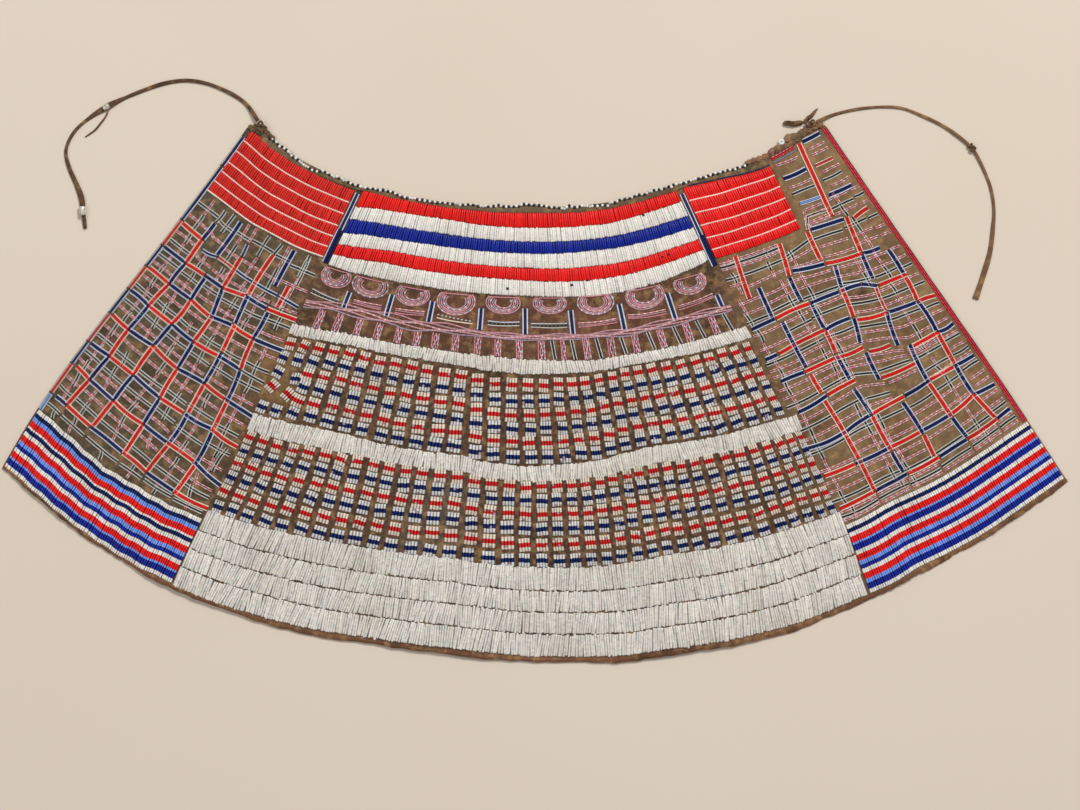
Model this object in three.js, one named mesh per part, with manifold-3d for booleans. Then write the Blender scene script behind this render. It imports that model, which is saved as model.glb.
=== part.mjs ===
// A beaded skirt: one fan-shaped hide, laid flat, with sewn lanes of glass beads and two leather ties.
// Millimetres, +Z up. The origin is on the underside, in the middle of the hide's length and width.
// The waist edge is towards +Y and the hem towards -Y.
import * as THREE from "three";
import { mergeVertices } from "three/addons/utils/BufferGeometryUtils.js";
import Module from "manifold-3d";

const wasm = await Module();
wasm.setup();

// ---- Driving dimensions ----------------------------------------------------------------------
const HIDE = 2; // thickness of the hide
const TURNED_EDGE = 1.4; // how far the turned hem stands above the hide
const SEAM = 0.35; // clearance between pieces that touch or are sewn side by side
const BEAD = 2.1; // height of one layer of beads on the hide
const ARCH = 0.8; // rise of a lane's middle above its ends
const GROOVE = 0.6; // height left between two columns of blocks
const THONG = 3.2; // diameter of a leather tie
const TAB = 1.5; // thickness of the leather tabs at the two waist corners
const FLOOR_GAP = 0.1; // what lies on the floor is this far above it

// The hide is ruled by straight gore lines from waist to hem. bow moves a line's middle to the right.
const GORES = [
  { line: "left edge", waistX: -310, waistY: 287, hemX: -574, hemY: -79, bow: -9 },
  { line: "left panel", waistX: -252, waistY: 252, hemX: -489, hemY: -152, bow: -4 },
  { line: "left divider", waistX: -187, waistY: 224, hemX: -392, hemY: -207, bow: 0 },
  { line: "left quarter", waistX: -100, waistY: 207, hemX: -204, hemY: -270, bow: 0 },
  { line: "centre", waistX: -3, waistY: 201, hemX: 11, hemY: -290, bow: 0 },
  { line: "right quarter", waistX: 77, waistY: 206, hemX: 190, hemY: -276, bow: 0 },
  { line: "right divider", waistX: 155, waistY: 224, hemX: 361, hemY: -225, bow: 0 },
  { line: "right panel", waistX: 203, waistY: 236, hemX: 427, hemY: -192, bow: 0 },
  { line: "red panel end", waistX: 251, waistY: 254, hemX: 491, hemY: -156, bow: 0 },
  { line: "right edge", waistX: 313, waistY: 290, hemX: 574, hemY: -93, bow: 2 },
];
const [LEFT_EDGE, LEFT_DIVIDER, RIGHT_DIVIDER, RED_END, RIGHT_EDGE] = [0, 2, 6, 8, 9];
const COLUMNS_PER_GORE = 4;
const DOWN_ROWS = [0, 0.1, 0.25, 0.45, 0.6, 0.7, 0.8, 0.9, 0.965, 0.989, 0.9945, 1];
const HEM_FOLD = 0.9945; // crest of the turned hem, on the way down from waist to hem

// Soft swells where the hide stands off the floor towards the hem. at and spread are in gores.
const SWELLS = [
  { name: "left corner", at: 0.55, spread: 0.6, from: 0.72, height: 2.2 },
  { name: "left hem", at: 2.1, spread: 0.7, from: 0.66, height: 3.2 },
  { name: "left of centre", at: 3.45, spread: 0.6, from: 0.7, height: 2.4 },
  { name: "right of centre", at: 4.9, spread: 0.7, from: 0.68, height: 3 },
  { name: "right hem", at: 6.5, spread: 0.65, from: 0.7, height: 2.6 },
  { name: "right corner", at: 8.2, spread: 0.6, from: 0.74, height: 1.8 },
];

// Lanes and zones of the middle, as shares of the way down; reach is how far the right end passes
// the right divider's line, at the zone's top and bottom.
const MIDDLE = {
  stripes: { top: 0.019, bottom: 0.193, reachTop: 0, reachBottom: 0 },
  arches: { top: 0.196, bottom: 0.25, reachTop: 0, reachBottom: -5 },
  lattice: { top: 0.256, bottom: 0.33, reachTop: -5, reachBottom: -12 },
  upperLane: { top: 0.334, bottom: 0.366, reachTop: 3, reachBottom: 4 },
  upperBlocks: { top: 0.368, bottom: 0.5625, reachTop: 0, reachBottom: 4 },
  middleLane: { top: 0.5645, bottom: 0.601, reachTop: 14, reachBottom: 14 },
  lowerBlocks: { top: 0.603, bottom: 0.7915, reachTop: 13, reachBottom: 12 },
  hemLane1: { top: 0.794, bottom: 0.845, reachTop: 12, reachBottom: 11 },
  hemLane2: { top: 0.847, bottom: 0.892, reachTop: 10, reachBottom: 8 },
  hemLane3: { top: 0.894, bottom: 0.939, reachTop: 8, reachBottom: 5 },
  hemLane4: { top: 0.941, bottom: 0.9875, reachTop: 4, reachBottom: 1 },
};
const STRIPE_LANES = 6;
const RED_LANES = 6;
const UPPER_COLUMNS = 32;
const LOWER_COLUMNS = 38;
const BLOCK_WIDTH = 0.66; // share of a column's pitch that its beads cover

const DIVIDER_WIDTH = 7;
const EDGE_LINE = 5; // width of the bead line along each side edge
const SIDE_MARGIN = 7; // from the hide's side edge to the beadwork of the side panels
const EDGING_BOTTOM = 0.0165; // lower edge of the waist edging
const RED_TOP = 0.022;
const RED_BOTTOM = 0.185;
const BAND_TOP = 0.835;
const BAND_BOTTOM = 0.9865;

// The plaid of bead rows: even rows run round the skirt, and columns run down it at these shares of
// its width. The upper left corner of the right one gives way to the red panel.
const PLAID_LINE = 6.5; // width of a main row
const COLUMN_SHARE = 0.036; // width of a main column, as a share of the plaid's width
const LEFT_PLAID = { rows: 9, columns: [0.17, 0.33, 0.48, 0.665, 0.835], top: 0.199, bottom: 0.792 };
const RIGHT_PLAID = { rows: 11, columns: [0.17, 0.43, 0.65, 0.82, 0.93], top: 0.065, bottom: 0.787 };
const RED_CORNER = { rows: 2, columns: 3 };

const ARCHES = { count: 9, outer: 20, inner: 11.5, rail: 4.5, railPieces: 10, steps: 6 };
const BARS = { count: 9, width: 9, hatches: 20, hatchWidth: 6.5 };

// Leather tabs that stand out past the waist edge at its two corners: out is how far, in mm.
const LEFT_TAB = [
  { at: 0.02, out: 1 }, { at: 0.1, out: 5 }, { at: 0.18, out: 10 }, { at: 0.27, out: 10 },
  { at: 0.34, out: 5 },
];
const RIGHT_TAB = [
  { at: 8.04, out: 1 }, { at: 8.12, out: 5 }, { at: 8.2, out: 2 }, { at: 8.32, out: 8 },
  { at: 8.46, out: 10 }, { at: 8.52, out: 7 }, { at: 8.64, out: 13 }, { at: 8.8, out: 12 },
  { at: 8.96, out: 2 },
];
const TAB_BOTTOM = 0.02; // how far down the waist the tabs lie on the hide

// Ties, by hand: each route runs from the knot at the hide's corner over its edge and along the floor.
const ON_FLOOR = FLOOR_GAP + THONG / 2;
const OVER_JOIN = 3; // height of the thong's middle where a bead or knot is threaded on it
const LEFT_TIE = [
  [-298.2, 293.9, 6.1], [-304, 303, 3.3], [-311, 312, ON_FLOOR], [-321, 320, ON_FLOOR],
  [-336, 328, ON_FLOOR], [-355, 335, ON_FLOOR], [-376, 338, ON_FLOOR], [-399, 335, ON_FLOOR],
  [-423, 327, ON_FLOOR], [-447, 317, 2], [-462, 309, OVER_JOIN], [-477, 300, 2],
  [-493, 287, ON_FLOOR], [-502, 274, ON_FLOOR], [-506, 260, ON_FLOOR], [-502, 243, ON_FLOOR],
  [-495, 227, ON_FLOOR], [-489, 211, 2.1], [-487, 197, OVER_JOIN], [-485, 178, ON_FLOOR],
];
const RIGHT_TIE = [
  [304.1, 292.7, 6.1], [313, 297, 3.4], [323, 301, ON_FLOOR], [338, 305, ON_FLOOR],
  [355, 308, ON_FLOOR], [377, 309.5, ON_FLOOR], [397, 308, ON_FLOOR], [418, 300, ON_FLOOR],
  [439, 290, ON_FLOOR], [457, 278, 2.1], [472, 265, OVER_JOIN], [480, 252, 2.1],
  [487, 237, ON_FLOOR], [493, 220, ON_FLOOR], [496, 199, ON_FLOOR], [495, 179, ON_FLOOR],
  [492, 154, ON_FLOOR], [485, 129, ON_FLOOR], [476, 102, ON_FLOOR],
];
const TAIL = 1.8; // diameter of the thin strand at the left tie's join
const TAIL_FLOOR = FLOOR_GAP + TAIL / 2;
const LEFT_TAIL = [
  [-460.2, 305.7, 1.9], [-463, 299, TAIL_FLOOR], [-469, 291, TAIL_FLOOR], [-475, 284, TAIL_FLOOR],
  [-485, 277, TAIL_FLOOR],
];
const TIE_STEPS = 36;
const TAIL_STEPS = 6;
const TIE_SIDES = 8;

// ---- The hide as a surface -------------------------------------------------------------------
const clamp = (value, low, high) => Math.min(high, Math.max(low, value));
const mix = (from, to, share) => from + (to - from) * share;
const ease = (t) => t * t * (3 - 2 * t);
const range = (count) => Array.from({ length: count }, (_, k) => k);

// A smooth curve through one column of the gore table. gore counts the gore lines from the left.
function alongGores(column, gore) {
  const last = GORES.length - 1;
  const start = clamp(Math.floor(gore), 0, last - 1);
  const t = gore - start;
  const at = (k) => {
    if (k < 0) return 2 * GORES[0][column] - GORES[1][column];
    if (k > last) return 2 * GORES[last][column] - GORES[last - 1][column];
    return GORES[k][column];
  };
  const [before, here, next, after] = [at(start - 1), at(start), at(start + 1), at(start + 2)];
  const slope = next - before;
  const curve = 2 * before - 5 * here + 4 * next - after;
  const twist = 3 * here - before - 3 * next + after;
  return here + 0.5 * t * (slope + t * (curve + t * twist));
}

// The place on the floor plan of a point of the hide; down runs from 0 at the waist to 1 at the hem.
function plan(gore, down) {
  const bow = alongGores("bow", gore) * Math.sin(Math.PI * down * down);
  return {
    x: mix(alongGores("waistX", gore), alongGores("hemX", gore), down) + bow,
    y: mix(alongGores("waistY", gore), alongGores("hemY", gore), down),
  };
}

const widthOfGore = (gore, down) => {
  const step = 0.02;
  const [a, b] = [plan(gore - step, down), plan(gore + step, down)];
  return Math.hypot(b.x - a.x, b.y - a.y) / (2 * step);
};
const lengthOfGore = (gore) => {
  const [a, b] = [plan(gore, 0), plan(gore, 1)];
  return Math.hypot(b.x - a.x, b.y - a.y);
};

function swell(gore, down) {
  let lift = 0;
  for (const { at, spread, from, height } of SWELLS) {
    const across = Math.abs(gore - at) / spread;
    if (across < 1 && down > from) {
      lift += height * (0.5 + 0.5 * Math.cos(Math.PI * across)) * ease((down - from) / (1 - from));
    }
  }
  return lift;
}

// How far the hide's underside is off the floor: the swells, read between the hide's own corners,
// so that what is laid on the hide follows its faces.
function lift(gore, down) {
  const column = clamp(Math.floor(gore * COLUMNS_PER_GORE), 0, (GORES.length - 1) * COLUMNS_PER_GORE - 1);
  const row = clamp(DOWN_ROWS.findLastIndex((d) => d <= down), 0, DOWN_ROWS.length - 2);
  const [left, right] = [column / COLUMNS_PER_GORE, (column + 1) / COLUMNS_PER_GORE];
  const [upper, lower] = [DOWN_ROWS[row], DOWN_ROWS[row + 1]];
  const across = (gore - left) * COLUMNS_PER_GORE;
  const along = (down - upper) / (lower - upper);
  return mix(
    mix(swell(left, upper), swell(right, upper), across),
    mix(swell(left, lower), swell(right, lower), across),
    along,
  );
}

// ---- Making solids ---------------------------------------------------------------------------
const skirt = new THREE.Group();

function addPiece(name, geometry, finish) {
  const piece = new THREE.Mesh(geometry, new THREE.MeshStandardMaterial(finish));
  piece.name = name;
  skirt.add(piece);
}

const LEATHER = { color: 0x7a6450, roughness: 0.85 };
const THONG_LEATHER = { color: 0x5a4636, roughness: 0.8 };
const WHITE_BEADS = { color: 0xe1dcd6, roughness: 0.35 };
const RED_BEADS = { color: 0xd8302a, roughness: 0.3 };
const MIXED_BEADS = { color: 0x8f8ba6, roughness: 0.35 };
const NAVY_BEADS = { color: 0x1e2d5a, roughness: 0.3 };
const PINK_BEADS = { color: 0xc88c91, roughness: 0.4 };
const METAL_BEAD = { color: 0xb8b4ac, roughness: 0.35, metalness: 0.6 };

// A wall over a grid of points, closed round its edge and round each cell that is left open.
// pointAt(i, j) gives x, y, low and high; isOpen(i, j) says whether a cell is left out.
function wall(across, along, pointAt, isOpen = () => false) {
  const positions = [];
  for (let j = 0; j < along; j += 1) {
    for (let i = 0; i < across; i += 1) {
      const { x, y, low, high } = pointAt(i, j);
      positions.push(x, y, low, x, y, high);
    }
  }
  const under = (i, j) => 2 * (j * across + i);
  const filled = (i, j) => i >= 0 && j >= 0 && i < across - 1 && j < along - 1 && !isOpen(i, j);
  const faces = [];
  const quad = (a, b, c, d) => faces.push(a, b, c, a, c, d);
  for (let j = 0; j < along - 1; j += 1) {
    for (let i = 0; i < across - 1; i += 1) {
      if (!filled(i, j)) continue;
      const corners = [under(i, j), under(i, j + 1), under(i + 1, j + 1), under(i + 1, j)];
      const neighbours = [filled(i - 1, j), filled(i, j + 1), filled(i + 1, j), filled(i, j - 1)];
      quad(...corners.map((corner) => corner + 1));
      quad(...corners.toReversed());
      neighbours.forEach((joined, side) => {
        const [p, q] = [corners[side], corners[(side + 1) % 4]];
        if (!joined) quad(q + 1, p + 1, p, q);
      });
    }
  }
  const geometry = new THREE.BufferGeometry();
  geometry.setAttribute("position", new THREE.Float32BufferAttribute(positions, 3));
  geometry.setIndex(faces);
  return geometry;
}

// The gore lines of a piece from its left to its right end, with all the hide's columns between.
function columnsBetween(left, right) {
  const inner = range((GORES.length - 1) * COLUMNS_PER_GORE + 1)
    .map((k) => k / COLUMNS_PER_GORE)
    .filter((gore) => gore > left + 0.02 && gore < right - 0.02);
  return [left, ...inner, right];
}

// Beadwork over part of the hide. ends(down) gives its left and right gore, columns the shares
// between them, rows the ways down, and heightAt(i, j) how thick it is there.
function beadwork(name, finish, { ends, columns, rows, heightAt, isOpen }) {
  const pointAt = (i, j) => {
    const down = rows[j];
    const [left, right] = ends(down);
    const gore = mix(left, right, columns[i]);
    const low = HIDE + SEAM + lift(gore, down);
    return { ...plan(gore, down), low, high: low + heightAt(i, j) };
  };
  addPiece(name, wall(columns.length, rows.length, pointAt, isOpen), finish);
}

const sharesOf = (gores) => gores.map((gore) => (gore - gores[0]) / (gores.at(-1) - gores[0]));

// Both ends of a middle zone: clear of the dividers, with the zone's own reach on the right.
function middleEnds(zone) {
  return (down) => {
    const clear = DIVIDER_WIDTH / 2 + SEAM;
    const [leftWidth, rightWidth] = [LEFT_DIVIDER, RIGHT_DIVIDER].map((g) => widthOfGore(g, down));
    const share = (down - zone.top) / (zone.bottom - zone.top);
    const reach = mix(zone.reachTop, zone.reachBottom, share);
    const hasDivider = down < MIDDLE.stripes.bottom + 0.001;
    return [
      LEFT_DIVIDER + clear / leftWidth,
      RIGHT_DIVIDER + (hasDivider ? -clear : reach) / rightWidth,
    ];
  };
}

// Rows for lanes laid one below the other: each lane has its two ends low and its middle arched.
function laneRows(top, bottom, lanes) {
  const rows = range(2 * lanes + 1).map((k) => mix(top, bottom, k / (2 * lanes)));
  return { rows, heightAt: (i, j) => BEAD + (j % 2 ? ARCH : 0) };
}

// ---- Hide ------------------------------------------------------------------------------------
const hideColumns = columnsBetween(LEFT_EDGE, RIGHT_EDGE);
addPiece(
  "hide",
  wall(hideColumns.length, DOWN_ROWS.length, (i, j) => {
    const [gore, down] = [hideColumns[i], DOWN_ROWS[j]];
    const low = lift(gore, down);
    return { ...plan(gore, down), low, high: low + HIDE + (down === HEM_FOLD ? TURNED_EDGE : 0) };
  }),
  LEATHER,
);

// ---- Waist edging: a rolled strip with its beads, from the left corner to the red panel's end ----
const edgingColumns = sharesOf(columnsBetween(LEFT_EDGE, RED_END));
beadwork("waist_edging", LEATHER, {
  ends: () => [0.37, RED_END],
  columns: edgingColumns,
  rows: [0.0005, EDGING_BOTTOM / 2, EDGING_BOTTOM],
  heightAt: (i, j) => (j === 1 ? BEAD + ARCH : BEAD / 2),
});

// ---- Middle: stripes, lanes and blocks ----
const middleColumns = sharesOf(columnsBetween(LEFT_DIVIDER, RIGHT_DIVIDER));
beadwork("centre_stripe_panel", RED_BEADS, {
  ends: middleEnds(MIDDLE.stripes),
  columns: middleColumns,
  ...laneRows(MIDDLE.stripes.top, MIDDLE.stripes.bottom, STRIPE_LANES),
});

const whiteLanes = {
  upper_white_lane: MIDDLE.upperLane,
  middle_white_lane: MIDDLE.middleLane,
  hem_white_lane_1: MIDDLE.hemLane1,
  hem_white_lane_2: MIDDLE.hemLane2,
  hem_white_lane_3: MIDDLE.hemLane3,
  hem_white_lane_4: MIDDLE.hemLane4,
};
for (const [name, zone] of Object.entries(whiteLanes)) {
  beadwork(name, WHITE_BEADS, {
    ends: middleEnds(zone),
    columns: middleColumns,
    ...laneRows(zone.top, zone.bottom, 1),
  });
}

// Columns of short bead blocks, each a rib, with the hide almost bare between them.
function blockPanel(name, zone, count, steps) {
  const columns = range(count).flatMap((k) => [k, k + 0.08, k + BLOCK_WIDTH]).concat(count - 0.26);
  beadwork(name, MIXED_BEADS, {
    ends: middleEnds(zone),
    columns: columns.map((k) => k / columns.at(-1)),
    rows: range(steps + 1).map((k) => mix(zone.top, zone.bottom, k / steps)),
    heightAt: (i) => (i % 3 === 0 ? GROOVE : BEAD),
  });
}
blockPanel("upper_block_panel", MIDDLE.upperBlocks, UPPER_COLUMNS, 1);
blockPanel("lower_block_panel", MIDDLE.lowerBlocks, LOWER_COLUMNS, 2);

// ---- Dividers: bead rows that run down beside the stripes ----
for (const [name, gore] of [["left_divider", LEFT_DIVIDER], ["right_divider", RIGHT_DIVIDER]]) {
  beadwork(name, NAVY_BEADS, {
    ends: (down) => {
      const half = DIVIDER_WIDTH / 2 / widthOfGore(gore, down);
      return [gore - half, gore + half];
    },
    columns: [0, 0.5, 1],
    rows: [MIDDLE.stripes.top, 0.08, 0.14, MIDDLE.stripes.bottom],
    heightAt: (i) => (i === 1 ? BEAD : BEAD * 0.7),
  });
}

// ---- Side panels: red lanes at the waist, striped bands at the hem ----
const besideDivider = (gore, down) => (DIVIDER_WIDTH / 2 + SEAM) / widthOfGore(gore, down);
const besideEdge = (gore, down) => SIDE_MARGIN / widthOfGore(gore, down);
beadwork("left_red_panel", RED_BEADS, {
  ends: (down) => [
    LEFT_EDGE + besideEdge(0.5, down),
    LEFT_DIVIDER - besideDivider(LEFT_DIVIDER, down),
  ],
  columns: sharesOf(columnsBetween(LEFT_EDGE, LEFT_DIVIDER)),
  ...laneRows(RED_TOP, RED_BOTTOM, RED_LANES),
});
beadwork("right_red_panel", RED_BEADS, {
  ends: (down) => [RIGHT_DIVIDER + besideDivider(RIGHT_DIVIDER, down), RED_END],
  columns: sharesOf(columnsBetween(RIGHT_DIVIDER, RED_END)),
  ...laneRows(RED_TOP, RED_BOTTOM, RED_LANES),
});

const bandRows = [BAND_TOP, mix(BAND_TOP, BAND_BOTTOM, 0.5), BAND_BOTTOM];
const bandHeight = (i, j) => (j === 1 ? BEAD + 0.3 : BEAD);
beadwork("left_hem_band", MIXED_BEADS, {
  ends: (down) => [0.012, LEFT_DIVIDER + SEAM / widthOfGore(LEFT_DIVIDER, down)],
  columns: sharesOf(columnsBetween(LEFT_EDGE, LEFT_DIVIDER)),
  rows: bandRows,
  heightAt: bandHeight,
});
// The right band starts where the white hem lanes end, and slopes up a little towards the edge.
const hemReach = (down) => {
  const share = (down - MIDDLE.hemLane1.top) / (MIDDLE.hemLane4.bottom - MIDDLE.hemLane1.top);
  return mix(MIDDLE.hemLane1.reachTop + 2, MIDDLE.hemLane4.reachBottom + 4, share);
};
beadwork("right_hem_band", MIXED_BEADS, {
  ends: (down) => [
    RIGHT_DIVIDER + hemReach(down) / widthOfGore(RIGHT_DIVIDER, down),
    RIGHT_EDGE - 0.012,
  ],
  columns: sharesOf(columnsBetween(RIGHT_DIVIDER, RIGHT_EDGE)),
  rows: bandRows,
  heightAt: bandHeight,
});

// ---- Plaids: rows and columns of beads with bare hide between them ----
// The sides of even rows, as shares of the plaid's length.
function rowSides(count, width, length) {
  return range(count).flatMap((k) => {
    const upper = (k / (count - 1)) * (length - width);
    return [upper / length, (upper + width) / length];
  });
}
// Each column and row has two grid lines, its two sides, so every other cell is bare hide.
function plaid(name, { rows, columns, top, bottom }, ends, isRed = () => false) {
  const length = lengthOfGore(1) * (bottom - top);
  const sides = columns.flatMap((share) => [share - COLUMN_SHARE / 2, share + COLUMN_SHARE / 2]);
  beadwork(name, MIXED_BEADS, {
    ends,
    columns: [0, ...sides, 1],
    rows: rowSides(rows, PLAID_LINE, length).map((share) => mix(top, bottom, share)),
    heightAt: () => BEAD,
    isOpen: (i, j) => isRed(i, j) || (i % 2 === 0 && j % 2 === 1),
  });
}
plaid("left_plaid", LEFT_PLAID, (down) => [
  LEFT_EDGE + besideEdge(0.5, down),
  LEFT_DIVIDER - (2 * SEAM) / widthOfGore(LEFT_DIVIDER, down),
]);
plaid(
  "right_plaid",
  RIGHT_PLAID,
  (down) => [
    RIGHT_DIVIDER + (down < MIDDLE.middleLane.top - 0.02 ? 10 : 18) / widthOfGore(RIGHT_DIVIDER, down),
    RIGHT_EDGE - besideEdge(8.5, down),
  ],
  (i, j) => i <= 2 * RED_CORNER.columns && j < 2 * RED_CORNER.rows,
);

// ---- Bead lines along both side edges ----
const edgeRows = [RED_TOP, 0.25, 0.45, 0.6, 0.7, 0.8, 0.83];
beadwork("left_edge_line", NAVY_BEADS, {
  ends: (down) => [0.3 / widthOfGore(0.5, down), EDGE_LINE / widthOfGore(0.5, down)],
  columns: [0, 0.5, 1],
  rows: edgeRows,
  heightAt: (i) => (i === 1 ? BEAD : BEAD * 0.7),
});
beadwork("right_edge_line", PINK_BEADS, {
  ends: (down) => [
    RIGHT_EDGE - EDGE_LINE / widthOfGore(8.5, down),
    RIGHT_EDGE - 0.3 / widthOfGore(8.5, down),
  ],
  columns: [0, 0.5, 1],
  rows: edgeRows,
  heightAt: (i) => (i === 1 ? BEAD : BEAD * 0.7),
});

// ---- Arcade: half rings that hang from a rail, and a lattice of bars below them ----
function manifoldOf(geometry) {
  const bare = geometry.clone();
  bare.deleteAttribute("normal");
  bare.deleteAttribute("uv");
  const merged = mergeVertices(bare, 1e-4);
  return new wasm.Manifold(
    new wasm.Mesh({
      numProp: 3,
      vertProperties: merged.attributes.position.array,
      triVerts: new Uint32Array(merged.index.array),
    }),
  );
}
function geometryOf(manifold) {
  const mesh = manifold.getMesh();
  const geometry = new THREE.BufferGeometry();
  geometry.setAttribute("position", new THREE.Float32BufferAttribute(mesh.vertProperties, 3));
  geometry.setIndex(Array.from(mesh.triVerts));
  return geometry;
}
const joined = (solids) => geometryOf(solids.reduce((all, solid) => all.add(solid)));

// A flat strip of beads between two ways down and two shares of the middle's width.
function strip(zone, left, right, top, bottom, pieces = 1) {
  const pointAt = (i, j) => {
    const down = j ? bottom : top;
    const ends = middleEnds(zone)(down);
    const gore = mix(ends[0], ends[1], mix(left, right, i / pieces));
    return { ...plan(gore, down), low: HIDE + SEAM, high: HIDE + SEAM + BEAD };
  };
  return manifoldOf(wall(pieces + 1, 2, pointAt));
}

// One half ring, open side up, centred on the rail and turned to hang down its gore line.
function halfRing(share) {
  const [left, right] = middleEnds(MIDDLE.arches)(MIDDLE.arches.top);
  const gore = mix(left, right, share);
  const insideRail = MIDDLE.arches.top + (0.5 * ARCHES.rail) / lengthOfGore(gore);
  const [top, below] = [plan(gore, insideRail), plan(gore, 1)];
  const outline = new THREE.Shape();
  outline.absarc(0, 0, ARCHES.outer, Math.PI, 2 * Math.PI, false);
  outline.absarc(0, 0, ARCHES.inner, 2 * Math.PI, Math.PI, true);
  const ring = new THREE.ExtrudeGeometry(outline, {
    depth: BEAD,
    bevelEnabled: false,
    curveSegments: ARCHES.steps,
  });
  ring.rotateZ(Math.atan2(below.y - top.y, below.x - top.x) + Math.PI / 2);
  ring.translate(top.x, top.y, HIDE + SEAM);
  return manifoldOf(ring);
}
const railBottom = MIDDLE.arches.top + ARCHES.rail / lengthOfGore(4);
const archShares = range(ARCHES.count).map((k) => (k + 0.48) / ARCHES.count);
addPiece(
  "arcade_arches",
  joined([
    strip(MIDDLE.arches, 0, 1, MIDDLE.arches.top, railBottom, ARCHES.railPieces),
    ...archShares.map(halfRing),
  ]),
  PINK_BEADS,
);

const lattice = MIDDLE.lattice;
const middleWidth = 4 * widthOfGore(4, lattice.top);
const linkBottom = lattice.top + (0.8 * ARCHES.rail) / lengthOfGore(4);
const latticeRail = mix(lattice.top, lattice.bottom, 0.45);
const latticeRailBottom = latticeRail + (1.4 * ARCHES.rail) / lengthOfGore(4);
const upright = (share, width, top, bottom) => {
  const half = width / 2 / middleWidth;
  return strip(lattice, share - half, share + half, top, bottom);
};
addPiece(
  "arcade_lattice",
  joined([
    strip(lattice, 0, 1, lattice.top, linkBottom, ARCHES.railPieces),
    strip(lattice, 0, 1, latticeRail, latticeRailBottom, ARCHES.railPieces),
    ...range(BARS.count).map((k) =>
      upright((k + 0.85) / BARS.count, BARS.width, lattice.top, latticeRailBottom),
    ),
    ...range(BARS.hatches).map((k) =>
      upright((k + 0.5) / BARS.hatches, BARS.hatchWidth, latticeRail, lattice.bottom),
    ),
  ]),
  PINK_BEADS,
);

// ---- Leather tabs at the waist corners ----
function tab(name, outline) {
  addPiece(
    name,
    wall(outline.length, 2, (i, j) => {
      const { at, out } = outline[i];
      const down = j ? TAB_BOTTOM : -out / lengthOfGore(at);
      return { ...plan(at, down), low: HIDE + SEAM, high: HIDE + SEAM + TAB };
    }),
    LEATHER,
  );
}
tab("left_waist_tab", LEFT_TAB);
tab("right_waist_tab", RIGHT_TAB);

// ---- Ties ----
function cordTube(points, steps, diameter) {
  const route = new THREE.CatmullRomCurve3(points.map((point) => new THREE.Vector3(...point)));
  const section = new THREE.Shape(
    range(TIE_SIDES).map((k) => {
      const angle = (2 * Math.PI * (k + 0.5)) / TIE_SIDES;
      return new THREE.Vector2(Math.cos(angle), Math.sin(angle)).multiplyScalar(diameter / 2);
    }),
  );
  return new THREE.ExtrudeGeometry(section, { steps, bevelEnabled: false, extrudePath: route });
}
addPiece("tie_left", cordTube(LEFT_TIE, TIE_STEPS, THONG), THONG_LEATHER);
addPiece("tie_right", cordTube(RIGHT_TIE, TIE_STEPS, THONG), THONG_LEATHER);
addPiece("tie_left_tail", cordTube(LEFT_TAIL, TAIL_STEPS, TAIL), THONG_LEATHER);

// A knot or bead threaded on a tie: a short barrel round the thong, along its route.
const THREADED = THONG / 2 + 0.45; // radius of the hole
function barrel(name, finish, { radius, length, at, towards }) {
  const half = length / 2;
  const profile = [
    [THREADED, -half], [0.85 * radius, -half], [radius, -half * 0.4], [radius, half * 0.4],
    [0.85 * radius, half], [THREADED, half], [THREADED, -half],
  ].map(([out, along]) => new THREE.Vector2(out, along));
  const body = new THREE.LatheGeometry(profile, 12);
  const direction = new THREE.Vector3(...towards).setZ(0).sub(new THREE.Vector3(...at).setZ(0));
  const upright = new THREE.Vector3(0, 1, 0);
  body.applyQuaternion(new THREE.Quaternion().setFromUnitVectors(upright, direction.normalize()));
  addPiece(name, body.translate(...at), finish);
}
barrel("tie_left_join", METAL_BEAD, {
  radius: 2.9, length: 5, at: [-462, 309, OVER_JOIN], towards: [-477, 300.3, 0],
});
barrel("tie_left_bead", METAL_BEAD, {
  radius: 2.8, length: 5, at: [-487, 197, OVER_JOIN], towards: [-486, 178, 0],
});
barrel("tie_right_knot", THONG_LEATHER, {
  radius: 2.9, length: 6, at: [472, 265, OVER_JOIN], towards: [495, 239, 0],
});

// Lumps of wrapped leather: knots on the tabs, and the two short ends at the right corner.
function lump(name, finish, { halfX, halfY, halfZ, turn, x, y, floor }) {
  const body = new THREE.SphereGeometry(1, 12, 7).rotateX(Math.PI / 2).scale(halfX, halfY, halfZ);
  addPiece(name, body.rotateZ(turn).translate(x, y, floor + halfZ), finish);
}
const ON_TAB = HIDE + SEAM + TAB + SEAM;
lump("left_corner_knot", THONG_LEATHER, {
  halfX: 7, halfY: 5, halfZ: 2.2, turn: -0.9, x: -294.5, y: 287, floor: ON_TAB,
});
lump("right_corner_knot", THONG_LEATHER, {
  halfX: 7, halfY: 4.5, halfZ: 2.2, turn: 0.35, x: 297, y: 290, floor: ON_TAB,
});
lump("right_corner_toggle", THONG_LEATHER, {
  halfX: 10.5, halfY: 3, halfZ: 1.9, turn: 0, x: 279, y: 291.5, floor: FLOOR_GAP,
});
lump("right_corner_strand", THONG_LEATHER, {
  halfX: 10, halfY: 2.2, halfZ: 2, turn: 0.8, x: 298.5, y: 300, floor: FLOOR_GAP,
});

export default skirt;
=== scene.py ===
# %% [markdown]
# # A beaded wrap skirt
#
# The skirt is one fan of tanned hide. Its outer side is covered with glass beads sewn in short
# strands, side by side, which beaders call lane stitch. Two leather ties close it round the waist.
# The first cell loads the fixed frame of plain solids. Everything made here sits where they are.

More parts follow.
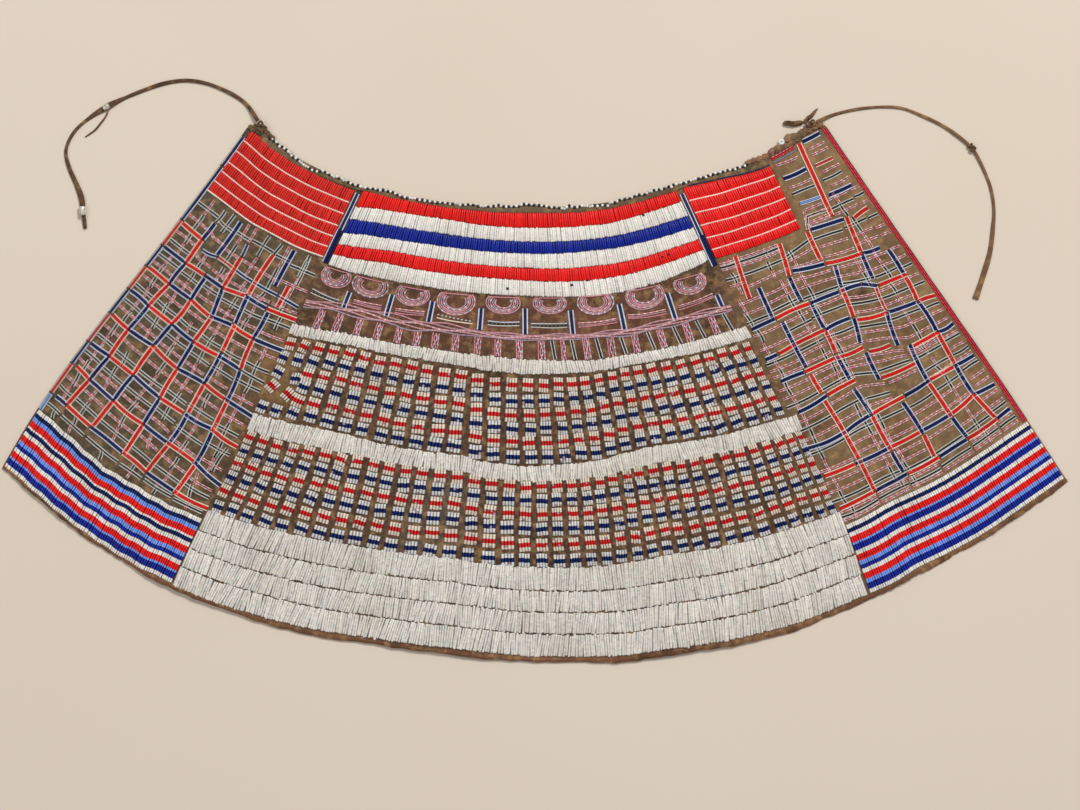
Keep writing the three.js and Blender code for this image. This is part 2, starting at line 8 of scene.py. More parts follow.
# %% Load the frame
import math
import bpy
import numpy as np
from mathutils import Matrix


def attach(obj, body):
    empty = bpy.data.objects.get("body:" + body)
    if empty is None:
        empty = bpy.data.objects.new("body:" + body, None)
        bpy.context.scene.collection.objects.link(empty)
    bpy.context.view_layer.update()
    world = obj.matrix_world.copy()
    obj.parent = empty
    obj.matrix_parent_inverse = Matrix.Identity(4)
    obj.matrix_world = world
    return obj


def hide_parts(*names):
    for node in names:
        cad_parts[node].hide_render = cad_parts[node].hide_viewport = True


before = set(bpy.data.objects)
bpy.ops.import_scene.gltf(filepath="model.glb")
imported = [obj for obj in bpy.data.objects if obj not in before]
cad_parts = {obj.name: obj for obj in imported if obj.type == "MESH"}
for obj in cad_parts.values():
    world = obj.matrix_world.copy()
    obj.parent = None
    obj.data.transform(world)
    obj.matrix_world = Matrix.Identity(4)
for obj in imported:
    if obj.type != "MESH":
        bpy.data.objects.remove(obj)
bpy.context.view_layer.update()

MM = 0.001
rng = np.random.default_rng(11)

# %% [markdown]
# ## The camera
#
# The skirt lies flat and is seen from straight above, so the camera looks down the Z axis.
# An 85 mm lens from far away keeps the fan's edges straight. Its height is worked out from the
# width of floor that it has to show.

# %% Camera
VIEW_MIDDLE = (5.94 * MM, -12.42 * MM)
VIEW_WIDTH = 1166.4 * MM
SENSOR = 36.0
LENS = 85.0

bpy.ops.object.select_all(action="DESELECT")
camera_height = VIEW_WIDTH * LENS / SENSOR
bpy.ops.object.camera_add(location=(*VIEW_MIDDLE, camera_height), rotation=(0, 0, 0))
camera = bpy.context.object
camera.name = "camera_above"
camera.data.sensor_width = SENSOR
camera.data.lens = LENS
bpy.context.scene.camera = camera
print("camera height", round(camera_height, 3), "m")

# %% [markdown]
# ## The rule of the fan
#
# A skirt like this is ruled by straight lines from waist to hem. A place on it is given by its
# gore, counted from the left edge (0) to the right edge (9), and by how far down it is, from 0 at
# the waist to 1 at the hem. One small table of line ends and a smooth curve between them turn
# those two numbers into a place on the floor, so every bead finds its place by rule.

# %% Gore lines
WAIST_X, WAIST_Y, HEM_X, HEM_Y, BOW = range(5)
GORES = np.array([
    (-310, 287, -574, -79, -9),   # left edge
    (-252, 252, -489, -152, -4),  # left panel
    (-187, 224, -392, -207, 0),   # left divider
    (-100, 207, -204, -270, 0),   # left quarter
    (-3, 201, 11, -290, 0),       # centre
    (77, 206, 190, -276, 0),      # right quarter
    (155, 224, 361, -225, 0),     # right divider
    (203, 236, 427, -192, 0),     # right panel
    (251, 254, 491, -156, 0),     # red panel's end
    (313, 290, 574, -93, 2),      # right edge
], dtype=float)
LEFT_DIVIDER, RIGHT_DIVIDER, RED_END, RIGHT_EDGE = 2, 6, 8, 9


def with_ends(points):
    """The points with one more at each end, in line with the two beside it."""
    return np.concatenate([[2 * points[0] - points[1]], points, [2 * points[-1] - points[-2]]])


def smooth_between(before, here, beyond, after, t):
    """A place on the smooth curve from here (t 0) to beyond (t 1), led by one point on each side."""
    slope = beyond - before
    curve = 2 * before - 5 * here + 4 * beyond - after
    twist = 3 * here - before - 3 * beyond + after
    return here + 0.5 * t * (slope + t * (curve + t * twist))


def along_gores(column, gore):
    """A smooth curve through one column of the table."""
    padded = with_ends(GORES[:, column])
    start = np.clip(np.floor(gore), 0, len(GORES) - 2).astype(int)
    return smooth_between(*(padded[start + k] for k in range(4)), gore - start)


def plan(gore, down):
    """The place on the floor plan, in millimetres."""
    gore, down = np.broadcast_arrays(np.asarray(gore, float), np.asarray(down, float))
    bow = along_gores(BOW, gore) * np.sin(np.pi * down * down)
    x = along_gores(WAIST_X, gore) * (1 - down) + along_gores(HEM_X, gore) * down + bow
    y = along_gores(WAIST_Y, gore) * (1 - down) + along_gores(HEM_Y, gore) * down
    return x, y


def gore_width(gore, down):
    """Millimetres for one gore, measured over a short step to both sides."""
    step = 0.02
    (ax, ay), (bx, by) = plan(gore - step, down), plan(gore + step, down)
    return np.hypot(bx - ax, by - ay) / (2 * step)


def gore_length(gore):
    """Millimetres from waist to hem."""
    (ax, ay), (bx, by) = plan(gore, 0.0), plan(gore, 1.0)
    return float(np.hypot(bx - ax, by - ay))


def distance_along(x, y):
    """Millimetres from the start of a path to each of its points."""
    return np.concatenate([[0], np.cumsum(np.hypot(np.diff(x), np.diff(y)))])


print("waist to hem down the middle:", round(gore_length(4.0)), "mm")

# %% [markdown]
# ## Height above the floor
#
# Old hide doesn't lie dead flat. Towards the hem it stands off the floor in broad, low swells, and
# a few narrow ridges run down it where it was folded. Each is one row of a table, and the hide and
# all the beads read the same height.

# %% Swells and ridges
HIDE = 2.0
SWELLS = (  # gore, spread in gores, from how far down, height in mm
    (0.55, 0.6, 0.72, 2.2), (2.1, 0.7, 0.66, 3.2), (3.45, 0.6, 0.7, 2.4),
    (4.9, 0.7, 0.68, 3.0), (6.5, 0.65, 0.7, 2.6), (8.2, 0.6, 0.74, 1.8),
)
RIDGES = (  # gore at the top, gore at the bottom, half width in gores, top, bottom, height in mm
    (0.35, 0.22, 0.12, 0.50, 0.98, 0.9), (0.95, 0.80, 0.10, 0.62, 1.02, 1.1),
    (1.45, 1.52, 0.13, 0.25, 0.80, 0.8), (2.45, 2.30, 0.16, 0.60, 1.05, 1.2),
    (3.05, 3.20, 0.12, 0.30, 0.75, 0.7), (3.75, 3.90, 0.14, 0.68, 1.05, 1.3),
    (4.45, 4.35, 0.11, 0.20, 0.62, 0.8), (5.30, 5.55, 0.16, 0.58, 1.05, 1.2),
    (5.95, 5.80, 0.10, 0.35, 0.80, 0.7), (6.75, 7.05, 0.15, 0.55, 1.03, 1.1),
    (7.70, 7.60, 0.12, 0.30, 0.85, 0.9), (8.35, 8.60, 0.10, 0.60, 1.02, 1.0),
)


def hump(away):
    """A smooth hump: 1 in the middle, and 0 where away is 1 or more."""
    return 0.5 + 0.5 * np.cos(np.pi * np.clip(np.abs(away), 0, 1))


def rise(gore, down):
    """How far the hide's underside is off the floor, in millimetres."""
    gore, down = np.broadcast_arrays(np.asarray(gore, float), np.asarray(down, float))
    lift = np.zeros_like(gore)
    for at, spread, start, height in SWELLS:
        share = np.clip((down - start) / (1 - start), 0, 1)
        lift += height * hump((gore - at) / spread) * share * share * (3 - 2 * share)
    for gore_top, gore_bottom, half_width, top, bottom, height in RIDGES:
        share = np.clip((down - top) / (bottom - top), 0, 1)
        middle = gore_top + (gore_bottom - gore_top) * share
        lift += height * hump((gore - middle) / half_width) * np.sin(np.pi * share) ** 2
    return lift


print("highest swell", round(float(rise(np.linspace(0, 9, 181), 1.0).max()), 2), "mm")

# %% [markdown]
# ## Rows that stray
#
# Hand sewing strays. The rows of the middle rise and fall by a few millimetres against an even
# arc, and in one place two lengths of sewing meet with a small step. The table gives, for a few
# levels and gores, how far a row is off its level, in thousandths of the skirt's length.

# %% Straying rows
STRAY_GORES = (1.9, 2.05, 2.3, 2.5, 2.7, 2.9, 3.1, 3.5, 3.6, 3.9, 4.3, 4.5, 4.7, 4.9, 5.1, 5.5, 5.9, 6.2)
STRAYS = (
    (0.240, (0, 0, 0, 0, 0, 0, 0, 0, 0, 0, 0, 0, 0, 0, 0, 0, 0, 0)),
    (0.335, (10, 12, 4, -3, -6, -7, -9, -4, -3, 2, 4, 6, 4, 2, 2, 5, 6, 5)),
    (0.395, (4, 0, -9, -17, -18, -18, -18, -12, -1, 2, -3, -6, -11, -14, -14, -6, -3, -3)),
    (0.430, (2, 2, -10, -21, -22, -21, -20, -13, 0, 3, -3, -7, -16, -21, -20, -11, -6, -6)),
    (0.550, (2, 3, -5, -14, -18, -14, -12, -10, 0, 7, -1, -5, -17, -22, -21, -11, -8, -4)),
    (0.630, (12, 13, 10, 0, -6, -13, -10, -13, -3, 2, -3, -6, -15, -19, -16, -8, -5, -4)),
    (0.780, (15, 16, 13, 6, -2, -10, -11, -12, -7, -1, -2, -5, -9, -14, -10, -3, -1, -3)),
    (0.870, (13, 14, 12, 6, 0, -6, -11, -13, -10, -3, -1, 0, -5, -6, -2, 4, 0, 0)),
    (1.000, (10, 11, 11, 6, 2, -5, -11, -9, -7, 0, 1, 2, -3, -1, 1, 6, -3, -5)),
)


def stray(gore, down):
    """How far the sewing of the middle is off its level there."""
    gore, down = np.broadcast_arrays(np.asarray(gore, float), np.asarray(down, float))
    levels = [level for level, _ in STRAYS]
    table = np.array([np.interp(gore, STRAY_GORES, strays) for _, strays in STRAYS]) / 1000
    place = np.clip(np.interp(down, levels, np.arange(len(levels))), 0, len(levels) - 1.001)
    low = place.astype(int)
    above = np.take_along_axis(table, low[None], 0)[0]
    below = np.take_along_axis(table, low[None] + 1, 0)[0]
    return above + (below - above) * (place - low)

# %% [markdown]
# ## Colours of the glass
#
# Each colour of bead has a name, so that a row can be written down as a maker would say it. Shaders
# reckon in linear light, so the everyday values are turned into that once.

# %% Colour names
GLASS_COLOURS = {  # everyday names and their red, green and blue, as seen on a screen
    "white": (238, 234, 227), "cream": (240, 220, 198), "frost": (214, 220, 236),
    "red": (234, 34, 30), "orange_red": (216, 48, 38), "crimson": (214, 26, 44),
    "rose_red": (214, 58, 84), "royal": (22, 42, 150), "navy": (16, 34, 92),
    "sky": (124, 162, 234), "pink": (230, 152, 160), "dusty_pink": (198, 142, 148),
    "grey_pink": (172, 150, 154), "grey_white": (208, 208, 202), "black": (30, 32, 36),
    "grey_blue": (134, 148, 174), "olive": (112, 108, 82), "purple": (72, 52, 104),
    "pale_pink": (250, 214, 208), "pale": (216, 214, 212), "lane_white": (226, 221, 213),
    "bone": (228, 214, 198), "block_red": (206, 32, 34),
}


def linear(rgb):
    """Screen values 0-255 to the linear light that shaders take."""
    share = np.asarray(rgb, float) / 255
    return np.where(share <= 0.04045, share / 12.92, ((share + 0.055) / 1.055) ** 2.4)


GLASS = {name: linear(rgb) for name, rgb in GLASS_COLOURS.items()}

# %% [markdown]
# ## Finishes
#
# Two effects are shared by many materials, so each is a node group made once. `bead_patina` greys
# and dulls glass that has been worn and handled. `leather_skin` gives grain, stains and scuffs.
# Both read Object coordinates, which stay still on the piece. A few helpers keep the nodes short.

# %% Helpers for shader nodes


def new_group(name, inputs, outputs):
    """A node group, its input node and its output node."""
    group = bpy.data.node_groups.new(name, "ShaderNodeTree")
    for label, kind, value in inputs:
        socket = group.interface.new_socket(label, in_out="INPUT", socket_type=kind)
        socket.default_value = value
    for label, kind in outputs:
        group.interface.new_socket(label, in_out="OUTPUT", socket_type=kind)
    return group, group.nodes.new("NodeGroupInput"), group.nodes.new("NodeGroupOutput")


def object_place(tree):
    return tree.nodes.new("ShaderNodeTexCoord").outputs["Object"]


def noise(tree, coordinates, scale, detail, roughness=0.55):
    node = tree.nodes.new("ShaderNodeTexNoise")
    node.inputs["Scale"].default_value = scale
    node.inputs["Detail"].default_value = detail
    node.inputs["Roughness"].default_value = roughness
    tree.links.new(coordinates, node.inputs["Vector"])
    return node.outputs["Fac"]


def remap(tree, value, low, high, to_low=0.0, to_high=1.0):
    node = tree.nodes.new("ShaderNodeMapRange")
    node.inputs["From Min"].default_value = low
    node.inputs["From Max"].default_value = high
    node.inputs["To Min"].default_value = to_low
    node.inputs["To Max"].default_value = to_high
    tree.links.new(value, node.inputs["Value"])
    return node.outputs["Result"]


def combine(tree, operation, first, second):
    """Two values added or multiplied."""
    node = tree.nodes.new("ShaderNodeMath")
    node.operation = operation
    tree.links.new(first, node.inputs[0])
    tree.links.new(second, node.inputs[1])
    return node.outputs[0]


def blend_colour(tree, share, first, second, mode="MIX"):
    """One colour blended into another; each may be a value or another node's output."""
    node = tree.nodes.new("ShaderNodeMix")
    node.data_type = "RGBA"
    node.blend_type = mode
    for socket, value in (("Factor", share), ("A", first), ("B", second)):
        target = [s for s in node.inputs if s.name == socket and s.enabled][0]
        if isinstance(value, bpy.types.NodeSocket):
            tree.links.new(value, target)
        else:
            target.default_value = value
    return [s for s in node.outputs if s.enabled][0]


def opaque(rgb):
    """A screen colour as a shader's colour socket takes it."""
    return (*[float(v) for v in linear(rgb)], 1.0)


# %% [markdown]
# ### The two effects
#
# Old glass is greyed in broad patches by dust and wear, and its gloss changes from bead to bead.
# Old hide has broad stains, rust and ochre blotches, pale scuffs, and pores and fibres as its grain.

# %% Shared effects
patina, patina_in, patina_out = new_group(
    "bead_patina",
    [("Colour", "NodeSocketColor", (0.8, 0.8, 0.8, 1)), ("Grime", "NodeSocketFloat", 0.25)],
    [("Colour", "NodeSocketColor"), ("Roughness", "NodeSocketFloat")],
)
place = object_place(patina)
patches = remap(patina, noise(patina, place, 14, 4), 0.45, 0.75)
grime = combine(patina, "MULTIPLY", patches, patina_in.outputs["Grime"])
greyed = blend_colour(patina, grime, patina_in.outputs["Colour"], opaque((186, 176, 160)), "MULTIPLY")
patina.links.new(greyed, patina_out.inputs["Colour"])
gloss = remap(patina, noise(patina, place, 700, 2), 0.3, 0.7, 0.3, 0.5)
patina.links.new(gloss, patina_out.inputs["Roughness"])

skin, skin_in, skin_out = new_group(
    "leather_skin",
    [("Colour", "NodeSocketColor", (0.2, 0.14, 0.09, 1)), ("Stain", "NodeSocketFloat", 0.6)],
    [("Colour", "NodeSocketColor"), ("Roughness", "NodeSocketFloat"), ("Height", "NodeSocketFloat")],
)
place = object_place(skin)
blotch = remap(skin, noise(skin, place, 22, 6, 0.65), 0.38, 0.66)
stain = combine(skin, "MULTIPLY", blotch, skin_in.outputs["Stain"])
stained = blend_colour(skin, stain, skin_in.outputs["Colour"], opaque((128, 112, 92)), "MULTIPLY")
rust = remap(skin, noise(skin, place, 150, 4, 0.6), 0.48, 0.66, 0.0, 0.6)
stained = blend_colour(skin, rust, stained, opaque((120, 78, 56)))
ochre = remap(skin, noise(skin, place, 95, 3, 0.6), 0.50, 0.68, 0.0, 0.5)
stained = blend_colour(skin, ochre, stained, opaque((176, 138, 92)))
scuff = remap(skin, noise(skin, place, 130, 4, 0.7), 0.55, 0.75, 0.0, 0.35)
scuffed = blend_colour(skin, scuff, stained, opaque((176, 152, 118)))
skin.links.new(scuffed, skin_out.inputs["Colour"])
pores = skin.nodes.new("ShaderNodeTexVoronoi")
pores.inputs["Scale"].default_value = 620
skin.links.new(place, pores.inputs["Vector"])
fibre = noise(skin, place, 260, 5, 0.7)
grain = combine(skin, "ADD", pores.outputs["Distance"], fibre)
skin.links.new(grain, skin_out.inputs["Height"])
skin.links.new(remap(skin, fibre, 0.3, 0.7, 0.7, 0.92), skin_out.inputs["Roughness"])

# %% [markdown]
# ### Materials
#
# Each kind of glass and each leather is a material of its own, with its own amount of grime, coat
# or stain. Glass takes its colour from the piece's faces, and the hide from its points.

# %% Materials


def attribute_colour(tree, name):
    """The colour that is kept on the piece under a name."""
    node = tree.nodes.new("ShaderNodeAttribute")
    node.attribute_name = name
    return node.outputs["Color"]


def new_material(name, group):
    """A material whose colour and roughness come from one of the two effects."""
    material = bpy.data.materials.new(name)
    material.use_nodes = True
    tree = material.node_tree
    effect = tree.nodes.new("ShaderNodeGroup")
    effect.node_tree = group
    shader = tree.nodes["Principled BSDF"]
    tree.links.new(effect.outputs["Colour"], shader.inputs["Base Color"])
    tree.links.new(effect.outputs["Roughness"], shader.inputs["Roughness"])
    return material, tree, effect, shader


def bead_glass(name, grime, coat, sheen_of_glass=0.3):
    """Glass beads: the colour of each is in the piece's own attribute."""
    material, tree, effect, shader = new_material(name, patina)
    tree.links.new(attribute_colour(tree, "glass"), effect.inputs["Colour"])
    effect.inputs["Grime"].default_value = grime
    shader.inputs["Coat Weight"].default_value = coat
    shader.inputs["Coat Roughness"].default_value = 0.15
    shader.inputs["Specular IOR Level"].default_value = sheen_of_glass
    return material


def leather(name, colour=None, stain=0.6, depth=0.0006):
    """Tanned hide, from one colour or from the piece's own shade attribute."""
    material, tree, effect, shader = new_material(name, skin)
    if colour:
        effect.inputs["Colour"].default_value = opaque(colour)
    else:
        tree.links.new(attribute_colour(tree, "shade"), effect.inputs["Colour"])
    effect.inputs["Stain"].default_value = stain
    bump = tree.nodes.new("ShaderNodeBump")
    bump.inputs["Strength"].default_value = 0.5
    bump.inputs["Distance"].default_value = depth
    tree.links.new(effect.outputs["Height"], bump.inputs["Height"])
    tree.links.new(bump.outputs["Normal"], shader.inputs["Normal"])
    shader.inputs["Specular IOR Level"].default_value = 0.25
    return material


white_glass = bead_glass("white_bead_glass", grime=0.3, coat=0.1)
red_glass = bead_glass("red_bead_glass", grime=0.2, coat=0.08, sheen_of_glass=0.25)
mixed_glass = bead_glass("mixed_bead_glass", grime=0.25, coat=0.08, sheen_of_glass=0.25)
navy_glass = bead_glass("navy_bead_glass", grime=0.2, coat=0.15)
pink_glass = bead_glass("pink_bead_glass", grime=0.45, coat=0.05)
edge_glass = bead_glass("edging_bead_glass", grime=0.35, coat=0.35)
hide_leather = leather("hide_leather")
thong_leather = leather("thong_leather", (98, 76, 54), 0.6, 0.0004)
dark_thong_leather = leather("dark_thong_leather", (88, 68, 48), 0.6, 0.0004)
light_thong_leather = leather("light_thong_leather", (122, 94, 68), 0.5, 0.0004)
lump_leather = leather("puckered_leather", stain=0.4)
dull_leather = leather("dull_leather", (98, 84, 62), 0.6, 0.0006)
print(len(bpy.data.materials), "materials")

# %% [markdown]
# ## Laying a tie
#
# A tie is a strip of leather, a little wider than thick and never quite even. It is modelled as a
# tube round its route: at each step a section of ten points, with its own half width and half
# height. The route's points are listed, and a smooth curve runs through them.

# %% Thongs
SECTION_SIDES = 10
STEP = 2.5


def smooth_route(points):
    """Places about a step apart on a smooth curve through the points."""
    padded = with_ends(np.array(points, float))
    places = []
    for before, here, beyond, after in zip(padded, padded[1:], padded[2:], padded[3:]):
        count = max(2, int(round(np.linalg.norm(beyond - here) / STEP)))
        t = np.arange(count)[:, None] / count
        places.append(smooth_between(before, here, beyond, after, t))
    return np.vstack([*places, padded[-2]])


def route_length(places):
    return float(np.linalg.norm(np.diff(places, axis=0), axis=1).sum())


def new_piece(name, mesh):
    """A finished mesh as an object in the scene."""
    piece = bpy.data.objects.new(name, mesh)
    bpy.context.scene.collection.objects.link(piece)
    return piece


def tube(name, places, half_width, half_height, sides=SECTION_SIDES):
    """A closed tube of oval sections along the places, in millimetres."""
    rings = len(places)
    half_width = np.broadcast_to(half_width, rings)
    half_height = np.broadcast_to(half_height, rings)
    ahead = np.gradient(places, axis=0)
    ahead /= np.linalg.norm(ahead, axis=1, keepdims=True)
    side = np.cross(ahead, (0, 0, 1))
    side /= np.linalg.norm(side, axis=1, keepdims=True)
    up = np.cross(side, ahead)
    turn = 2 * np.pi * (np.arange(sides) + 0.5) / sides
    points = (
        places[:, None]
        + side[:, None] * (np.cos(turn)[None, :, None] * half_width[:, None, None])
        + up[:, None] * (np.sin(turn)[None, :, None] * half_height[:, None, None])
    ).reshape(-1, 3)
    faces = []
    for r in range(rings - 1):
        for k in range(sides):
            n = (k + 1) % sides
            faces.append((r * sides + k, r * sides + n, (r + 1) * sides + n, (r + 1) * sides + k))
    faces.append(tuple(range(sides))[::-1])
    faces.append(tuple((rings - 1) * sides + k for k in range(sides)))
    mesh = bpy.data.meshes.new(name)
    mesh.from_pydata((points * MM).tolist(), [], faces)
    piece = new_piece(name, mesh)
    make_outward(piece)
    mesh.shade_smooth()
    return piece


def make_outward(piece):
    """Turn all faces of a closed mesh outwards."""
    bpy.ops.object.select_all(action="DESELECT")
    piece.select_set(True)
    bpy.context.view_layer.objects.active = piece
    bpy.ops.object.mode_set(mode="EDIT")
    bpy.ops.mesh.select_all(action="SELECT")
    bpy.ops.mesh.normals_make_consistent(inside=False)
    bpy.ops.object.mode_set(mode="OBJECT")


def settle(piece, material, slot, *nodes):
    """Give a finished piece its material and its body, and hide the frame parts it stands for; slot is not
    used.
    """
    piece.data.materials.clear()
    piece.data.materials.append(material)
    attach(piece, "root")
    if nodes:
        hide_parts(*nodes)
    return piece


# %% [markdown]
# ## The two ties
#
# The left tie runs out from the waist corner, turns down through a metal bead and ends in a second
# bead. A thin strand hangs from its join. The right tie is one thong with a knot in it, and its
# last stretch opens into a flat strap. They were cut by hand, so their width wanders a little.

# %% Routes of the ties
ON_FLOOR = 1.7
TAIL_FLOOR = 1.0
OFF_FLOOR = 0.1
LEFT_TIE = (
    (-298.2, 293.9, 6.1), (-304, 303, 3.3), (-311, 312, ON_FLOOR), (-321, 320, ON_FLOOR),
    (-336, 328, ON_FLOOR), (-355, 335, ON_FLOOR), (-376, 338, ON_FLOOR), (-399, 335, ON_FLOOR),
    (-423, 327, ON_FLOOR), (-447, 317, 2), (-462, 309, 3), (-477, 300, 2),
    (-493, 287, ON_FLOOR), (-502, 274, ON_FLOOR), (-506, 260, ON_FLOOR), (-502, 243, ON_FLOOR),
    (-495, 227, ON_FLOOR), (-489, 211, 2.1), (-487, 197, 3), (-485, 178, ON_FLOOR),
)
RIGHT_TIE = (
    (304.1, 292.7, 6.1), (313, 297, 3.4), (323, 301, ON_FLOOR), (338, 305, ON_FLOOR),
    (355, 308, ON_FLOOR), (377, 309.5, ON_FLOOR), (397, 308, ON_FLOOR), (418, 300, ON_FLOOR),
    (439, 290, ON_FLOOR), (457, 278, 2.1), (472, 265, 3), (480, 252, 2.1),
    (487, 237, ON_FLOOR), (493, 220, ON_FLOOR), (496, 199, ON_FLOOR), (495, 179, ON_FLOOR),
    (492, 154, ON_FLOOR), (485, 129, ON_FLOOR), (476, 102, ON_FLOOR),
)
LEFT_TAIL = (
    (-460.2, 305.7, 1.9), (-463, 299, TAIL_FLOOR), (-469, 291, TAIL_FLOOR),
    (-475, 284, TAIL_FLOOR), (-485, 277, TAIL_FLOOR),
)
LEFT_WIDTHS = (  # share of the length, width in millimetres
    (0, 4.4), (0.25, 4.0), (0.43, 4.3), (0.47, 3.4), (0.5, 5.6), (0.53, 7.4), (0.57, 5.0), (0.62, 3.4),
    (0.72, 3.8), (0.8, 4.4), (0.88, 6.0), (0.93, 6.2), (0.96, 4.8), (1, 4.0),
)
RIGHT_WIDTHS = (
    (0, 3.8), (0.1, 3.2), (0.3, 3.0), (0.45, 4.2), (0.52, 3.2), (0.7, 3.4), (0.86, 5.4), (1, 7.2),
)
TAIL_WIDTHS = ((0, 1.8), (0.6, 2.4), (1, 1.4))
LEFT_THICK, RIGHT_THICK, TAIL_THICK = 2.2, 1.9, 1.4


def lay_thong(name, points, widths, thickness, floor):
    """A leather strip along a route that is drawn with its middle at the height floor."""
    places = smooth_route(points)
    share = np.linspace(0, 1, len(places))
    width = np.interp(share, *zip(*widths)) * (1 + 0.07 * np.sin(41 * share) * np.cos(17 * share))
    half_height = thickness / 2 * (1 + 0.08 * np.sin(57 * share))
    places[:, 2] -= floor - OFF_FLOOR - half_height
    return tube(name, places, width / 2, half_height), places


tie_left, left_places = lay_thong("tie_left_thong", LEFT_TIE, LEFT_WIDTHS, LEFT_THICK, ON_FLOOR)
tie_right, right_places = lay_thong("tie_right_thong", RIGHT_TIE, RIGHT_WIDTHS, RIGHT_THICK, ON_FLOOR)
tail_left, tail_places = lay_thong("tie_left_strand", LEFT_TAIL, TAIL_WIDTHS, TAIL_THICK, TAIL_FLOOR)
settle(tie_left, dark_thong_leather, "thong", "tie_left")
settle(tie_right, light_thong_leather, "thong", "tie_right")
settle(tail_left, thong_leather, "thong", "tie_left_tail")
print("ties:", *[round(route_length(p)) for p in (left_places, right_places, tail_places)], "mm")

# %% [markdown]
# ## Beads in strands
#
# A seed bead is about two millimetres long. Tens of thousands of them are needed, so a bead has to
# be cheap: two stretches of a three-sided tube, narrow at its ends and full in its middle, with
# smooth shading to round it. All the strands of a piece are worked out as arrays and put into one
# closed mesh. Each bead's colour goes into an attribute on its faces, a little lighter or darker
# than its neighbour's, as real glass is.

# %% Strand maker
BEAD_LENGTH = 2.2
STRAND_PITCH = 2.6
BEAD_HEIGHT = 1.75
END_WIDTH = 0.88
END_HEIGHT = 0.86
ON_HIDE = HIDE + 0.05
sewn = []  # name and triangles of each piece of beads


def coloured(names, tone=0.07):
    """Linear colours for an array of colour names, each bead with its own tone."""
    names = np.asarray(names)
    colours = np.zeros((*names.shape, 3))
    for name in np.unique(names):
        colours[names == name] = GLASS[str(name)]
    shade = 1 + 0.8 * tone * rng.standard_normal((*names.shape, 1))
    if names.ndim == 2:  # a strand also has a tone of its own
        shade = shade + 0.7 * tone * rng.standard_normal((len(names), 1, 1))
    hue = 1 + 0.02 * rng.standard_normal((*names.shape, 3))
    return np.clip(colours * np.clip(shade, 0.7, 1.25) * hue, 0.001, 1)


def strand_run(centre, half_width, height, colours):
    """Points and faces of strands. centre is strands x rings x 3, colours strands x beads x 3."""
    strands, rings = centre.shape[:2]
    beads = (rings - 1) // 2
    ahead = np.gradient(centre[..., :2], axis=1)
    ahead /= np.linalg.norm(ahead, axis=2, keepdims=True) + 1e-9
    side = np.stack([-ahead[..., 1], ahead[..., 0], np.zeros((strands, rings))], axis=2)
    full = np.where(np.arange(rings) % 2, 1.0, 0.0)[None, :]
    wide = (END_WIDTH + (1 - END_WIDTH) * full) * np.broadcast_to(half_width, (strands, rings))
    tall = (END_HEIGHT + (1 - END_HEIGHT) * full) * height
    crest = centre.copy()
    crest[..., 2] += tall
    points = np.stack([centre + side * wide[..., None], crest, centre - side * wide[..., None]], axis=2)
    ring = (np.arange(strands)[:, None] * rings + np.arange(rings - 1)[None, :]) * 3
    k = np.arange(3)
    n = (k + 1) % 3
    quads = np.stack(
        [ring[..., None] + k, ring[..., None] + n, ring[..., None] + 3 + n, ring[..., None] + 3 + k], axis=-1
    ).reshape(-1, 4)
    quad_colours = np.repeat(colours, 6, axis=1).reshape(-1, 3)
    first = np.arange(strands) * rings * 3
    last = first + (rings - 1) * 3
    caps = np.concatenate([first[:, None] + (0, 2, 1), last[:, None] + (0, 1, 2)])
    cap_colours = np.concatenate([colours[:, 0], colours[:, beads - 1]])
    return points.reshape(-1, 3), quads, quad_colours, caps, cap_colours


def paint(mesh, name, domain, colours):
    """Linear colours kept on the mesh under a name, on its faces or its points."""
    layer = mesh.attributes.new(name, "FLOAT_COLOR", domain)
    layer.data.foreach_set("color", np.hstack([colours, np.ones((len(colours), 1))]).ravel())


def bead_piece(name, runs, material, slot, *nodes):
    """Join runs of strands into one mesh, with the bead colours on its faces."""
    offset = 0
    points, quads, quad_colours, caps, cap_colours = [], [], [], [], []
    for run_points, run_quads, run_quad_colours, run_caps, run_cap_colours in runs:
        points.append(run_points)
        quads.append(run_quads + offset)
        caps.append(run_caps + offset)
        quad_colours.append(run_quad_colours)
        cap_colours.append(run_cap_colours)
        offset += len(run_points)
    points = np.concatenate(points) * MM
    quads, caps = np.concatenate(quads), np.concatenate(caps)
    colours = np.concatenate(quad_colours + cap_colours)
    mesh = bpy.data.meshes.new(name)
    mesh.vertices.add(len(points))
    mesh.vertices.foreach_set("co", points.ravel())
    mesh.loops.add(quads.size + caps.size)
    mesh.loops.foreach_set("vertex_index", np.concatenate([quads.ravel(), caps.ravel()]))
    mesh.polygons.add(len(quads) + len(caps))
    starts = np.concatenate([np.arange(len(quads)) * 4, quads.size + np.arange(len(caps)) * 3])
    mesh.polygons.foreach_set("loop_start", starts)
    mesh.update(calc_edges=True)
    paint(mesh, "glass", "FACE", colours)
    mesh.shade_smooth()
    triangles = 2 * len(quads) + len(caps)
    sewn.append((name, triangles))
    print(f"{name}: {triangles} triangles")
    return settle(new_piece(name, mesh), material, slot, *nodes)


# %% [markdown]
# ## Lanes
#
# In lane stitch each strand is tacked down only at its two ends, so it stands up in a low arch. The
# strands run down the skirt, and a lane of them runs round it. Strands lean a little, pull
# together in bunches and end unevenly. Those small faults make it look sewn and not printed.

# %% Lane maker
ARCH = 0.8


